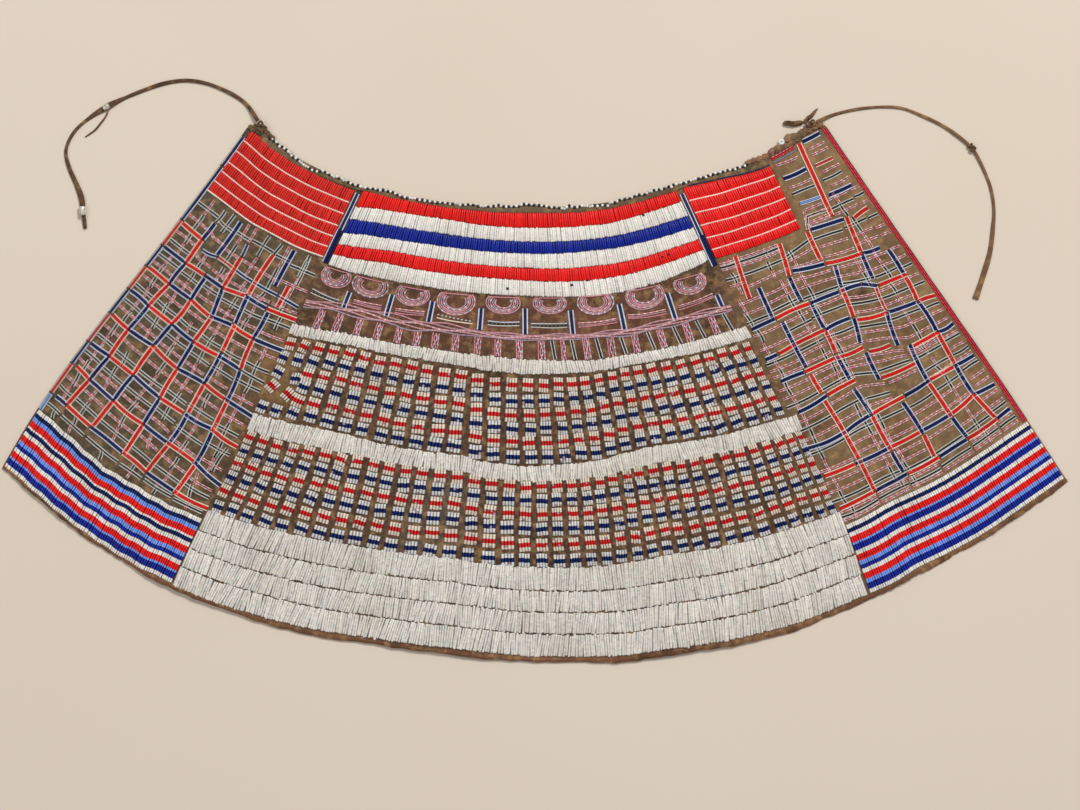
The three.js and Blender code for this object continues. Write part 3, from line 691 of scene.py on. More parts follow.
def zone_ends(top, bottom, left, reach_top, reach_bottom):
    """Both ends of a zone of the middle, in millimetres to the right of each divider.

    left is the same all the way down. The right end's reach changes from reach_top to reach_bottom.
    """
    def ends(down):
        share = np.clip((down - top) / (bottom - top), 0, 1)
        reach = reach_top + (reach_bottom - reach_top) * share
        return (
            LEFT_DIVIDER + left / gore_width(LEFT_DIVIDER, down),
            RIGHT_DIVIDER + reach / gore_width(RIGHT_DIVIDER, down),
        )
    return ends


def strand_run_at(gore, down, arch, names, half_width, tone=0.07, strays=None):
    """Strands whose rings are at arrays of gore and down, each strand one row of the array."""
    if strays is not None:
        down = down + strays(gore, down)
    x, y = plan(gore, down)
    share = np.linspace(0, 1, gore.shape[1])[None, :]
    z = ON_HIDE + rise(gore, down) + arch * np.sin(np.pi * share)
    return strand_run(np.stack([x, y, z], axis=2), half_width, BEAD_HEIGHT, coloured(names, tone))


def lane(ends, top, bottom, rows, fill, bunch, lean, pitch=STRAND_PITCH, arch=ARCH, skip=0.0,
         ragged=0.3, tone=0.06, speck=None, strays=None, spans=None):
    """One lane: rows names the colour of each bead from the top down.

    fill is a strand's half width and bunch its sideways pull, both as shares of the pitch. lean is
    how far strands tip, ragged how unevenly they end in millimetres, and skip how many are missing.
    """
    middle = (top + bottom) / 2
    left, right = ends(np.array([middle]))
    walk = np.linspace(left[0], right[0], 60)
    steps = distance_along(*plan(walk, middle))
    length = steps[-1]
    count = max(2, int(round(length / pitch)))
    share = (np.arange(count) + 0.5) / count
    bunches = np.sin(np.cumsum(rng.uniform(0.5, 2.6, count)))
    share = share + (bunch * bunches + 0.06 * rng.standard_normal(count)) * pitch / length
    share = share[rng.random(count) > skip]
    count = len(share)
    at = (np.interp(share, steps / length, walk) - left[0]) / (right[0] - left[0])
    rings = 2 * len(rows) + 1
    t = np.linspace(0, 1, rings)[None, :]
    one_mm = 1 / gore_length((left[0] + right[0]) / 2)
    upper = top + ragged * one_mm * rng.standard_normal((count, 1))
    lower = bottom + ragged * one_mm * rng.standard_normal((count, 1))
    if spans is not None:
        gore_here = left[0] + (right[0] - left[0]) * at[:, None]
        upper, lower = spans(gore_here, upper, lower)
    down = upper + (lower - upper) * t
    left, right = ends(down)
    together = np.sin(np.cumsum(rng.uniform(0, 0.35, count)))[:, None]
    tilt = lean * pitch / length * (together + 0.25 * rng.standard_normal((count, 1)))
    gore = left + (right - left) * (at[:, None] + tilt * (t - 0.5))
    names = np.tile(np.array(rows), (count, 1))
    if speck is not None:
        chance, other = speck
        names = np.where(rng.random(names.shape) < chance, other, names)
    half_width = fill * pitch * (1 + 0.06 * rng.standard_normal((count, 1)))
    return strand_run_at(gore, down, arch, names, half_width, tone=tone, strays=strays)


# %% [markdown]
# ## White lanes
#
# Six plain white lanes run round the middle: one under the arcade, one between the block panels and
# four at the hem. They are the loosest sewing of all, so their strands lean a lot, and now and then
# a bead is a greyer white.

# %% White lanes
SEAM = 0.0006
WHITE_LANES = (  # name, top, bottom, reaches, beads; reaches are those of zone_ends, in millimetres
    ("upper_white_lane", 0.3335, 0.3660, (-3, 3, 4), 7),
    ("middle_white_lane", 0.5640, 0.6010, (1, 14, 14), 8),
    ("hem_white_lane_1", 0.7935, 0.8450, (1, 12, 11), 11),
    ("hem_white_lane_2", 0.8465, 0.8920, (1, 10, 8), 10),
    ("hem_white_lane_3", 0.8935, 0.9390, (1, 8, 5), 10),
    ("hem_white_lane_4", 0.9405, 0.9880, (1, 4, 1), 10),
)
for node, top, bottom, reaches, beads in WHITE_LANES:
    run = lane(zone_ends(top, bottom, *reaches), top, bottom - SEAM, ["lane_white"] * beads, fill=0.74,
               bunch=0.04, lean=0.9, ragged=0.5, speck=(0.05, "grey_white"), strays=stray, tone=0.08)
    bead_piece(f"{node}_beads", [run], white_glass, "white_beads", node)

# %% [markdown]
# ## Strings
#
# Plaid lines, edge lines and outlines aren't lanes. They are strings of beads laid along a line
# and sewn down beside it. The string maker walks along a path given by gore and down, and lays
# beads at an even step along it.

# %% String maker


def string(path_gore, path_down, names, offset=0.0, half_width=1.05, height=1.9, bow=0.0, wander=0.12):
    """One string of beads along a path, moved sideways by offset and bowed by bow millimetres."""
    walk = np.linspace(0, 1, len(path_gore))
    fine = np.linspace(0, 1, max(24, 4 * len(path_gore)))
    gore = np.interp(fine, walk, path_gore)
    down = np.interp(fine, walk, path_down)
    gone = distance_along(*plan(gore, down))
    beads = max(1, int(round(gone[-1] / BEAD_LENGTH)))
    rings = 2 * beads + 1
    at = np.interp(np.linspace(0, gone[-1], rings), gone, fine)
    gore, down = np.interp(at, fine, gore), np.interp(at, fine, down)
    x, y = plan(gore, down)
    ahead_x, ahead_y = np.gradient(x), np.gradient(y)
    norm = np.hypot(ahead_x, ahead_y) + 1e-9
    sway = offset + wander * np.sin(np.linspace(0, gone[-1] / 9, rings) + rng.uniform(0, 6.3))
    sway = sway + bow * np.sin(np.pi * np.linspace(0, 1, rings))
    x, y = x - ahead_y / norm * sway, y + ahead_x / norm * sway
    z = ON_HIDE + rise(gore, down)
    names = np.resize(np.atleast_1d(names), beads)
    centre = np.stack([x, y, z], axis=1)[None]
    return strand_run(centre, np.full((1, rings), half_width), height, coloured(names[None]))


# %% [markdown]
# ## The stripe panel at the waist
#
# Six lanes lie below each other: red, white, blue, white, red, white. They are sewn with even,
# close strands, so the panel looks smooth and the lanes show as soft ridges.

# %% Stripes
CLEAR = 4.2
PANEL_PITCH = 2.4
PANEL_FILL = 0.72
STRIPE_SEAM = 0.0004
STRIPES = ("red", "white", "royal", "white", "red", "white")
STRIPE_GORES = (2.05, 2.3, 2.6, 3.0, 3.6, 4.2, 4.6, 5.0, 5.4, 5.95)
STRIPE_LEVELS = (  # edges of the stripes at those gores, in thousandths of the length
    (8.5, 7, 9, 10.5, 13, 12, 14, 13.5, 12, 9.5), (50, 41, 38, 37, 45, 45.5, 45.5, 46, 41, 36),
    (80, 74, 71, 70, 75.5, 77, 76.5, 75, 74, 70.5), (115, 105, 100, 97.5, 101.5, 103, 101, 101, 101, 98),
    (143.5, 136, 128, 128, 132.5, 136, 135.5, 135, 132, 127),
    (168, 164, 156, 157, 159, 164, 165, 163, 159, 151.5), (194, 196, 193, 192, 195, 197, 200, 199, 194, 178),
)


def between_levels(stops, top, bottom):
    """Spans for a lane that runs from one charted edge to the next, less a narrow seam."""
    def spans(gore, upper, lower):
        first, last = np.interp(gore, stops, top), np.interp(gore, stops, bottom)
        return first + upper - upper.mean(), last - STRIPE_SEAM + lower - lower.mean()
    return spans


runs = []
edges = np.array(STRIPE_LEVELS) / 1000
for top, bottom, colour in zip(edges, edges[1:], STRIPES):
    middle_top, middle_bottom = float(top.mean()), float(bottom.mean())
    ends = zone_ends(middle_top, middle_bottom, CLEAR, -CLEAR, -CLEAR)
    runs.append(lane(ends, middle_top, middle_bottom, [colour] * 6, PANEL_FILL, bunch=0.07, lean=0.1,
                     pitch=PANEL_PITCH, arch=1.0, speck=(0.001, "black"),
                     spans=between_levels(STRIPE_GORES, top, bottom)))
bead_piece("centre_stripe_beads", runs, red_glass, "red_beads", "centre_stripe_panel")

# %% [markdown]
# ## Red panels
#
# Beside the stripes each side has six red lanes, with a row of pale beads laid in every seam. The
# left panel's rows rise a little towards the side edge. The right one stops short of its edge, and
# its rows sag towards that end.

# %% Red panels
PALE_ROW = ("cream", "pale_pink", "cream", "white", "pale_pink")


def red_panel(name, node, left, right, levels, colour, last_line, move):
    """Six red lanes with rows of pale beads between; move says how far the sewing strays."""
    runs = []
    ends = lambda down: (left(down), right(down))
    for k, (top, bottom) in enumerate(zip(levels, levels[1:])):
        spans = lambda gore, upper, lower: (upper + move(gore, top), lower + move(gore, bottom))
        runs.append(lane(ends, top, bottom, [colour] * 6, PANEL_FILL, bunch=0.05, lean=0.08,
                         pitch=PANEL_PITCH, arch=0.9, ragged=0.15, tone=0.07, spans=spans))
        if k < len(levels) - 2 or last_line:
            first, last = (float(side[0]) for side in ends(np.array([bottom])))
            gore = np.linspace(first, last, 40)
            runs.append(string(gore, bottom + move(gore, bottom), PALE_ROW, half_width=1.5, height=2.5,
                               wander=0.3))
    return bead_piece(name, runs, red_glass, "red_beads", node)


LEFT_LIFT = ((0, -0.016), (0.3, -0.010), (0.5, -0.005), (0.9, 0))  # gore, how far off its level
RIGHT_TOP_SAG = ((6.0, -0.0035), (6.6, -0.002), (7.0, 0.0005), (7.4, 0.005), (7.8, 0.009), (8.0, 0.0105))
RIGHT_SAG = ((6.0, 0), (7.0, 0), (7.5, 0.002), (8.0, 0.005))


def left_move(gore, down):
    """The lift towards the side edge, fading with the way down."""
    return np.interp(gore, *zip(*LEFT_LIFT)) * max(0, 1 - down / 0.3)


def right_move(gore, down):
    """The sag towards the panel's end: the top edge has its own, and the rest fades with the way down."""
    if down < 0.02:
        return np.interp(gore, *zip(*RIGHT_TOP_SAG))
    return np.interp(gore, *zip(*RIGHT_SAG)) * max(0, 1 - down / 0.12)


EDGE_CLEAR = 5.5
LEFT_RED_LEVELS = (0.0140, 0.0437, 0.0726, 0.1030, 0.1285, 0.1550, 0.1810)
RIGHT_RED_LEVELS = (0.0100, 0.0385, 0.0680, 0.0980, 0.1280, 0.1555, 0.1770)
red_panel(
    "left_red_beads", "left_red_panel",
    lambda down: EDGE_CLEAR / gore_width(0.5, down),
    lambda down: LEFT_DIVIDER - CLEAR / gore_width(LEFT_DIVIDER, down),
    LEFT_RED_LEVELS, "orange_red", True, left_move,
)
red_panel(
    "right_red_beads", "right_red_panel",
    lambda down: RIGHT_DIVIDER + CLEAR / gore_width(RIGHT_DIVIDER, down),
    lambda down: RED_END - 0.02 - 0.10 * np.clip(down / 0.18, 0, 1),
    RIGHT_RED_LEVELS, "red", False, right_move,
)

# %% [markdown]
# ## Block panels
#
# Between the white lanes the beads stand in small blocks, columns of them with bare hide between.
# A block is four strands wide: two pale beads, two coloured, two pale. The rows are red and blue
# in turn. No two blocks are quite in line, so each one is shifted and tilted a little.

# %% Blocks
BLOCK_ROWS = ("block_red", "navy")
BLOCK_STRANDS = 4
BLOCK_SHARE = 0.68  # of the way from one column to the next
BLOCK_HALF = 7.2
BLOCK_ARCH = 0.7


def block(gore, down, colour, width, half, turn):
    """One block of strands at a place; its width and half its length in millimetres."""
    offsets = (np.arange(BLOCK_STRANDS) - (BLOCK_STRANDS - 1) / 2)[:, None] * width / BLOCK_STRANDS
    t = np.linspace(-1, 1, 13)[None, :]
    one_mm = 1 / gore_length(gore)
    downs = down + one_mm * (half * t + turn * offsets + 0.2 * rng.standard_normal((BLOCK_STRANDS, 1)))
    gores = gore + (offsets - turn * half * t) / gore_width(gore, down)
    pale = "bone" if colour == "block_red" else "pale"
    names = np.tile([pale, pale, colour, colour, pale, pale], (BLOCK_STRANDS, 1))
    names = np.where(rng.random(names.shape) < 0.03, "grey_pink", names)
    half_width = np.full((BLOCK_STRANDS, 1), 0.6 * width / BLOCK_STRANDS)
    return strand_run_at(gores, downs, BLOCK_ARCH, names, half_width)


def block_panel(name, node, top, bottom, reaches, count, rows_down, missing=(), more=()):
    """Rows and columns of blocks, less the missing ones (row, column) and with more laid singly."""
    ends = zone_ends(top, bottom, *reaches)
    runs = []
    for k, level in enumerate(rows_down):
        left, right = (float(side[0]) for side in ends(np.array([level])))
        for column in range(count):
            if (k, column) in missing:
                continue
            gore = left + (right - left) * (column + 0.5 + rng.normal(0, 0.03)) / count
            down = level + float(stray(gore, level)) + rng.normal(0, 0.0011)
            width = (right - left) * float(gore_width(gore, level)) / count * BLOCK_SHARE
            runs.append(block(gore, down, BLOCK_ROWS[k % 2], width * rng.normal(1, 0.04),
                              BLOCK_HALF * rng.normal(1, 0.03), rng.normal(0, 0.05)))
    for gore, down, colour, turn in more:
        runs.append(block(gore, down, colour, SINGLE_WIDTH, SINGLE_HALF, turn))
    return bead_piece(name, runs, mixed_glass, "mixed_beads", node)


UPPER_ROWS = (0.3915, 0.4240, 0.4550, 0.4850, 0.5145, 0.5450)
LOWER_ROWS = (0.6130, 0.6440, 0.6755, 0.7075, 0.7420, 0.7785)
UPPER_MISSING = {(2, 0), (2, 1), (3, 0), (3, 1), (4, 0), (4, 1)}
SINGLE_WIDTH = 11.0
SINGLE_HALF = 6.6
UPPER_MORE = (  # the four blocks at the left end that were sewn out of line
    (2.045, 0.462, "navy", 0.10), (2.21, 0.463, "navy", -0.15),
    (2.05, 0.496, "block_red", 0.45), (2.20, 0.502, "block_red", 0.40),
)
block_panel("upper_block_beads", "upper_block_panel", 0.368, 0.5625, (-3, 0, 4), 32, UPPER_ROWS,
            UPPER_MISSING, UPPER_MORE)
block_panel("lower_block_beads", "lower_block_panel", 0.603, 0.7915, (1, 13, 12), 38, LOWER_ROWS)

# %% [markdown]
# ## Hem bands
#
# On both side panels a band of fifteen narrow stripes runs above the hem. Its strands run down,
# one to three beads to a stripe, in two lanes that meet half way. Each letter below is one bead.

# %% Bands
LEFT_BAND = "WWNNLLRRRWNNWWRRRLLBBWWRRRLBBBWW"
RIGHT_BAND = "WWNNWWRRRLBBBWWRRRLLBBWWRRRLLBBBWW"
BAND_COLOURS = {"W": "white", "N": "navy", "B": "royal", "L": "sky", "R": "red"}
LEFT_EDGES = (  # gore, top and bottom of the band there
    (0.0, 0.8270, 0.9950), (0.5, 0.8310, 0.9925), (0.9, 0.8370, 0.9920), (1.3, 0.8330, 0.9920),
    (1.7, 0.8345, 0.9925), (2.0, 0.8325, 0.9930),
)
RIGHT_EDGES = (
    (6.1, 0.8240, 0.9820), (6.8, 0.8205, 0.9785), (7.3, 0.8225, 0.9815), (7.8, 0.8250, 0.9825),
    (8.3, 0.8275, 0.9850), (8.8, 0.8325, 0.9920), (9.0, 0.8345, 0.9940),
)


def hem_band(name, node, ends, stripes, edges):
    """A band of stripes between its charted edges; the left one ripples a little."""
    rows = [BAND_COLOURS[letter] for letter in stripes]
    stops, tops, bottoms = zip(*edges)
    runs = []
    half = len(rows) // 2
    for part, first, last in ((rows[:half], 0.0, 0.5), (rows[half:], 0.5, 1.0)):
        def spans(gore, upper, lower):
            top, bottom = np.interp(gore, stops, tops), np.interp(gore, stops, bottoms)
            ripple = 0.0012 * np.sin(gore * 23) * (gore < 2)
            noise_top, noise_bottom = upper - upper.mean(), lower - lower.mean()
            return (top + (bottom - top) * first + noise_top * 0.4 + ripple,
                    top + (bottom - top) * last + noise_bottom * 0.4 + ripple)
        runs.append(lane(ends, 0.83 + 0.16 * first, 0.83 + 0.16 * last, part, fill=0.68, bunch=0.08,
                         lean=0.1, pitch=2.5, arch=0.4, spans=spans))
    return bead_piece(name, runs, mixed_glass, "mixed_beads", node)


hem_band(
    "left_band_beads", "left_hem_band",
    lambda down: (np.full_like(down, 0.015), np.full_like(down, LEFT_DIVIDER - 0.004)),
    LEFT_BAND, LEFT_EDGES,
)
hem_band(
    "right_band_beads", "right_hem_band",
    lambda down: (
        RIGHT_DIVIDER + (14 - 9 * np.clip((down - 0.8) / 0.19, 0, 1)) / gore_width(RIGHT_DIVIDER, down),
        np.full_like(down, RIGHT_EDGE - 0.015),
    ),
    RIGHT_BAND, RIGHT_EDGES,
)

# %% [markdown]
# ## Lines of strings
#
# A main line of the plaid is four strings wide, two coloured ones with a pale one on each side, or
# three where it is slim. A fine line is two pink strings, or a black one between two pale ones. All
# the strings of a line bow the same way.

# %% Lines of strings


def pale_beside(colour):
    """The pale beads that are sewn beside a colour: warm by reds, cool by the rest."""
    return "cream" if colour in ("red", "crimson", "rose_red") else "frost"


def main_line(path_gore, path_down, colour, slim=False):
    """A line of strings side by side: pale, coloured, pale."""
    pale = pale_beside(colour)
    bow = rng.normal(0, 0.5)
    if slim:
        parts = ((-1.7, pale, 0.8), (0.0, colour, 0.95), (1.7, pale, 0.8))
    else:
        parts = ((-2.45, pale, 0.95), (-0.78, colour, 0.98), (0.78, colour, 0.98), (2.45, pale, 0.95))
    return [string(path_gore, path_down, names, offset, half_width=half, height=2.1, bow=bow, wander=0.08)
            for offset, names, half in parts]


def thin_line(path_gore, path_down, kind):
    """A fine line inside a cell: two pink strings, or a black one between two pale ones."""
    bow = rng.normal(0, 0.4)
    if kind == "pink":
        parts = (
            (-1.0, ("pink", "pink", "frost", "dusty_pink"), 0.85),
            (1.0, ("pink", "dusty_pink", "cream"), 0.85),
        )
    else:
        parts = ((-1.5, "grey_white", 0.85), (0.0, "black", 0.8), (1.5, "grey_white", 0.85))
    return [string(path_gore, path_down, names, offset, half_width=half, height=1.5, bow=bow, wander=0.06)
            for offset, names, half in parts]


# %% [markdown]
# ## The plaids
#
# Both side panels carry a plaid of such lines. Each long line is a thread through its crossings,
# given by gore and by how far down they are. A letter for each stretch says its colour: N navy,
# R red, S a slim line of sky blue, n and r slim lines of navy and crimson, w white with black,
# p pink. From crossing to crossing navy and red mostly take turns, and the crossings stray as hand
# sewing does.

# %% Threads of the left plaid
LEFT_THREADS = (
    ("R", ((0.06, 0.273), (0.41, 0.278))),
    ("nrnnn", ((0.48, 0.298), (0.71, 0.290), (0.99, 0.294), (1.28, 0.298), (1.67, 0.301), (1.96, 0.309))),
    ("NRNRNR", ((0.06, 0.343), (0.41, 0.345), (0.70, 0.342), (0.98, 0.344), (1.30, 0.334), (1.62, 0.338),
                (2.00, 0.337))),
    ("RNRNRN", ((0.06, 0.403), (0.39, 0.406), (0.72, 0.406), (1.02, 0.415), (1.33, 0.407), (1.65, 0.413),
                (2.02, 0.413))),
    ("NRNRNw", ((0.06, 0.471), (0.34, 0.475), (0.69, 0.477), (1.01, 0.484), (1.38, 0.483), (1.68, 0.489),
                (1.98, 0.497))),
    ("RNRNRN", ((0.06, 0.542), (0.31, 0.547), (0.64, 0.543), (1.02, 0.555), (1.39, 0.553), (1.69, 0.564),
                (2.02, 0.578))),
    ("NRNRNR", ((0.06, 0.626), (0.31, 0.623), (0.64, 0.624), (1.02, 0.633), (1.35, 0.635), (1.71, 0.638),
                (2.01, 0.654))),
    ("RNRNRN", ((0.08, 0.689), (0.28, 0.695), (0.61, 0.700), (1.01, 0.705), (1.34, 0.712), (1.71, 0.722),
                (2.02, 0.749))),
    ("NRNRNR", ((0.08, 0.777), (0.23, 0.777), (0.55, 0.781), (0.97, 0.785), (1.30, 0.795), (1.67, 0.803),
                (2.01, 0.808))),
    ("wNRNRNRNR", ((0.45, 0.190), (0.43, 0.228), (0.41, 0.278), (0.41, 0.345), (0.39, 0.406), (0.34, 0.475),
                   (0.31, 0.547), (0.31, 0.623), (0.28, 0.695), (0.23, 0.777))),
    ("N", ((0.72, 0.192), (0.69, 0.289))),
    ("NRNRNR", ((0.72, 0.344), (0.72, 0.406), (0.69, 0.477), (0.65, 0.542), (0.64, 0.624), (0.61, 0.700),
                (0.57, 0.780))),
    ("pnRNRNRNR", ((0.96, 0.185), (0.96, 0.228), (0.98, 0.261), (0.98, 0.344), (1.05, 0.411), (1.02, 0.483),
                   (1.02, 0.555), (1.02, 0.633), (1.01, 0.704), (0.99, 0.788))),
    ("wRNRNRNR", ((1.39, 0.190), (1.35, 0.221), (1.32, 0.331), (1.36, 0.402), (1.39, 0.472), (1.39, 0.555),
                  (1.39, 0.630), (1.37, 0.711), (1.30, 0.793))),
    ("N", ((1.58, 0.190), (1.58, 0.285))),
    ("R", ((1.74, 0.270), (1.73, 0.327))),
    ("NRNRNR", ((1.66, 0.344), (1.65, 0.413), (1.69, 0.489), (1.72, 0.563), (1.73, 0.642), (1.73, 0.727),
                (1.68, 0.807))),
    ("w", ((1.81, 0.193), (1.82, 0.264))),
    ("w", ((1.93, 0.663), (1.90, 0.728))),
    ("p", ((0.97, 0.300), (0.90, 0.330))),
)

# %% [markdown]
# The right plaid is made of shorter pieces, because the red panel ends above it and its lines bend
# round that corner.

# %% Threads of the right plaid
RIGHT_THREADS = (
    ("N", ((8.59, 0.008), (8.88, 0.011))),
    ("r", ((8.55, 0.070), (8.84, 0.076))),
    ("N", ((8.05, 0.059), (8.44, 0.065))),
    ("w", ((8.54, 0.108), (8.84, 0.113))),
    ("N", ((8.50, 0.144), (8.85, 0.153))),
    ("S", ((8.07, 0.126), (8.42, 0.138))),
    ("N", ((8.02, 0.190), (8.51, 0.209))),
    ("R", ((8.61, 0.220), (8.86, 0.217))),
    ("NRN", ((7.34, 0.258), (7.95, 0.274), (8.47, 0.298), (8.70, 0.310))),
    ("NRNNNR", ((6.08, 0.350), (6.57, 0.344), (7.35, 0.341), (7.92, 0.345), (8.25, 0.356), (8.42, 0.380),
                (8.81, 0.395))),
    ("NRRN", ((6.08, 0.423), (6.30, 0.420), (6.71, 0.413), (7.36, 0.409), (7.86, 0.409))),
    ("RNR", ((7.93, 0.420), (8.35, 0.443), (8.71, 0.461), (8.94, 0.473))),
    ("NRR", ((6.14, 0.479), (6.61, 0.478), (7.27, 0.477), (7.82, 0.482))),
    ("R", ((7.84, 0.496), (8.17, 0.509))),
    ("RN", ((8.38, 0.539), (8.72, 0.546), (8.93, 0.549))),
    ("NR", ((6.17, 0.556), (6.82, 0.546), (7.41, 0.540))),
    ("R", ((7.81, 0.562), (8.32, 0.575))),
    ("NNRNRN", ((6.08, 0.637), (6.83, 0.637), (7.36, 0.626), (7.98, 0.624), (8.35, 0.625), (8.67, 0.632),
                (8.92, 0.637))),
    ("RNRNRN", ((6.12, 0.707), (6.69, 0.710), (7.38, 0.711), (7.93, 0.712), (8.36, 0.717), (8.67, 0.711),
                (8.93, 0.720))),
    ("RNRNRN", ((6.12, 0.786), (6.80, 0.784), (7.42, 0.781), (7.97, 0.783), (8.36, 0.785), (8.74, 0.788),
                (8.92, 0.786))),
    ("R", ((8.54, 0.005), (8.39, 0.190))),
    ("RN", ((8.55, 0.205), (8.46, 0.297), (8.41, 0.362))),
    ("rN", ((8.39, 0.377), (8.34, 0.439), (8.24, 0.520))),
    ("R", ((6.40, 0.182), (6.28, 0.285))),
    ("RN", ((7.38, 0.188), (7.23, 0.268), (7.21, 0.331))),
    ("N", ((7.37, 0.342), (7.35, 0.407))),
    ("RN", ((7.35, 0.412), (7.32, 0.469), (7.32, 0.536))),
    ("NRN", ((7.30, 0.555), (7.36, 0.629), (7.36, 0.721), (7.37, 0.774))),
    ("R", ((7.96, 0.189), (7.91, 0.264))),
    ("N", ((6.55, 0.265), (6.52, 0.343))),
    ("N", ((6.68, 0.355), (6.69, 0.471))),
    ("R", ((6.71, 0.487), (6.74, 0.538))),
    ("RR", ((6.72, 0.552), (6.80, 0.704), (6.79, 0.786))),
    ("NRN", ((8.07, 0.287), (7.98, 0.339), (7.91, 0.412), (7.79, 0.472))),
    ("N", ((7.80, 0.493), (7.77, 0.564))),
    ("NRNRNR", ((8.77, 0.322), (8.76, 0.396), (8.72, 0.458), (8.71, 0.545), (8.68, 0.629), (8.67, 0.708),
                (8.73, 0.784))),
    ("NRN", ((8.37, 0.530), (8.32, 0.626), (8.34, 0.725), (8.37, 0.783))),
    ("NR", ((7.91, 0.633), (7.94, 0.721), (7.91, 0.777))),
)
LETTERS = {"N": "navy", "R": "red", "S": "sky", "n": "navy", "r": "crimson"}
CROSSING_GAP = 0.9


def between(start, end, clear=0.0):
    """A straight path of gores and downs from start to end, kept clear of both by millimetres."""
    (g0, d0), (g1, d1) = start, end
    (x0, y0), (x1, y1) = plan(g0, d0), plan(g1, d1)
    trim = min(0.4, clear / max(float(np.hypot(x1 - x0, y1 - y0)), 1.0))
    t = np.linspace(trim, 1 - trim, 5)
    return g0 + (g1 - g0) * t, d0 + (d1 - d0) * t


def lay_threads(threads):
    """The strings of every stretch of every thread."""
    runs = []
    for letters, crossings in threads:
        for letter, start, end in zip(letters, crossings, crossings[1:]):
            path = between(start, end, CROSSING_GAP)
            if letter in "wp":
                runs += thin_line(*path, "black" if letter == "w" else "pink")
            else:
                runs += main_line(*path, LETTERS[letter], slim=letter in "nrS")
    return runs


# %% [markdown]
# ## Fine lines in the cells
#
# Between the plaid's main lines run fine ones, up to three along a cell and up to two across it,
# pink or black. They stop short of every main line they meet. The right plaid has more of them.

# %% Fine lines
LEFT_LEVELS = (  # main rows as (gore, down) points, from the top
    ((0, 0.183), (2, 0.186)), ((0, 0.272), (0.42, 0.278), (0.5, 0.296), (2, 0.308)),
    ((0, 0.344), (1, 0.344), (2, 0.337)), ((0, 0.404), (1, 0.411), (2, 0.413)),
    ((0, 0.471), (1, 0.483), (2, 0.497)), ((0, 0.542), (1, 0.553), (2, 0.577)),
    ((0, 0.626), (1, 0.633), (2, 0.652)), ((0, 0.689), (1, 0.704), (2, 0.746)),
    ((0, 0.777), (1, 0.786), (2, 0.808)), ((0, 0.826), (0.9, 0.835), (2, 0.832)),
)
LEFT_POSTS = (  # main columns as (down, gore) points, from the left
    ((0, 0.06), (1, 0.04)), ((0.19, 0.45), (0.41, 0.39), (0.8, 0.23)),
    ((0.19, 0.73), (0.41, 0.72), (0.8, 0.56)), ((0.19, 0.96), (0.41, 1.04), (0.8, 0.99)),
    ((0.19, 1.36), (0.41, 1.36), (0.8, 1.30)),
    ((0.19, 1.60), (0.41, 1.65), (0.73, 1.73), (0.8, 1.68)), ((0.19, 1.98), (1, 1.99)),
)
RIGHT_LEVELS = (
    ((6.1, 0.183), (8, 0.183), (8.02, 0.126), (9, 0.150)),
    ((6.1, 0.215), (7.3, 0.215), (8, 0.192), (8.5, 0.209), (9, 0.220)),
    ((6.1, 0.275), (7.34, 0.260), (7.95, 0.274), (8.47, 0.298), (9, 0.318)),
    ((6.1, 0.350), (7.35, 0.341), (7.92, 0.345), (8.42, 0.380), (9, 0.398)),
    ((6.1, 0.422), (7.36, 0.409), (7.9, 0.415), (8.35, 0.443), (9, 0.474)),
    ((6.1, 0.479), (7.27, 0.477), (7.82, 0.484), (8.17, 0.509), (8.4, 0.539), (9, 0.549)),
    ((6.1, 0.557), (7.41, 0.540), (7.81, 0.562), (8.32, 0.575), (9, 0.590)),
    ((6.1, 0.637), (7.36, 0.628), (9, 0.637)), ((6.1, 0.707), (9, 0.719)), ((6.1, 0.785), (9, 0.787)),
    ((6.1, 0.823), (7.3, 0.820), (9, 0.832)),
)
RIGHT_POSTS = (
    ((0.18, 6.05), (0.8, 6.06)), ((0.18, 6.40), (0.28, 6.30), (0.30, 6.53), (0.47, 6.69), (0.8, 6.79)),
    ((0.18, 7.38), (0.33, 7.22), (0.55, 7.31), (0.8, 7.37)),
    ((0.18, 7.96), (0.28, 8.0), (0.41, 7.91), (0.56, 7.78), (0.63, 7.92), (0.8, 7.92)),
    ((0.0, 8.54), (0.19, 8.40), (0.30, 8.47), (0.44, 8.34), (0.52, 8.28), (0.8, 8.36)),
    ((0.30, 8.77), (0.55, 8.71), (0.8, 8.71)), ((0.0, 8.93), (1, 8.93)),
)


def reader(points):
    """A function that reads a charted line at any place."""
    places, values = zip(*points)
    return lambda at: np.interp(at, places, values)


GAP_GORE = 0.013
GAP_DOWN = 0.0034
SMALLEST_CELL = (0.08, 0.018)  # gores across, share of the skirt's length down
TALL_CELL = 0.05
WIDE_CELL = 0.45


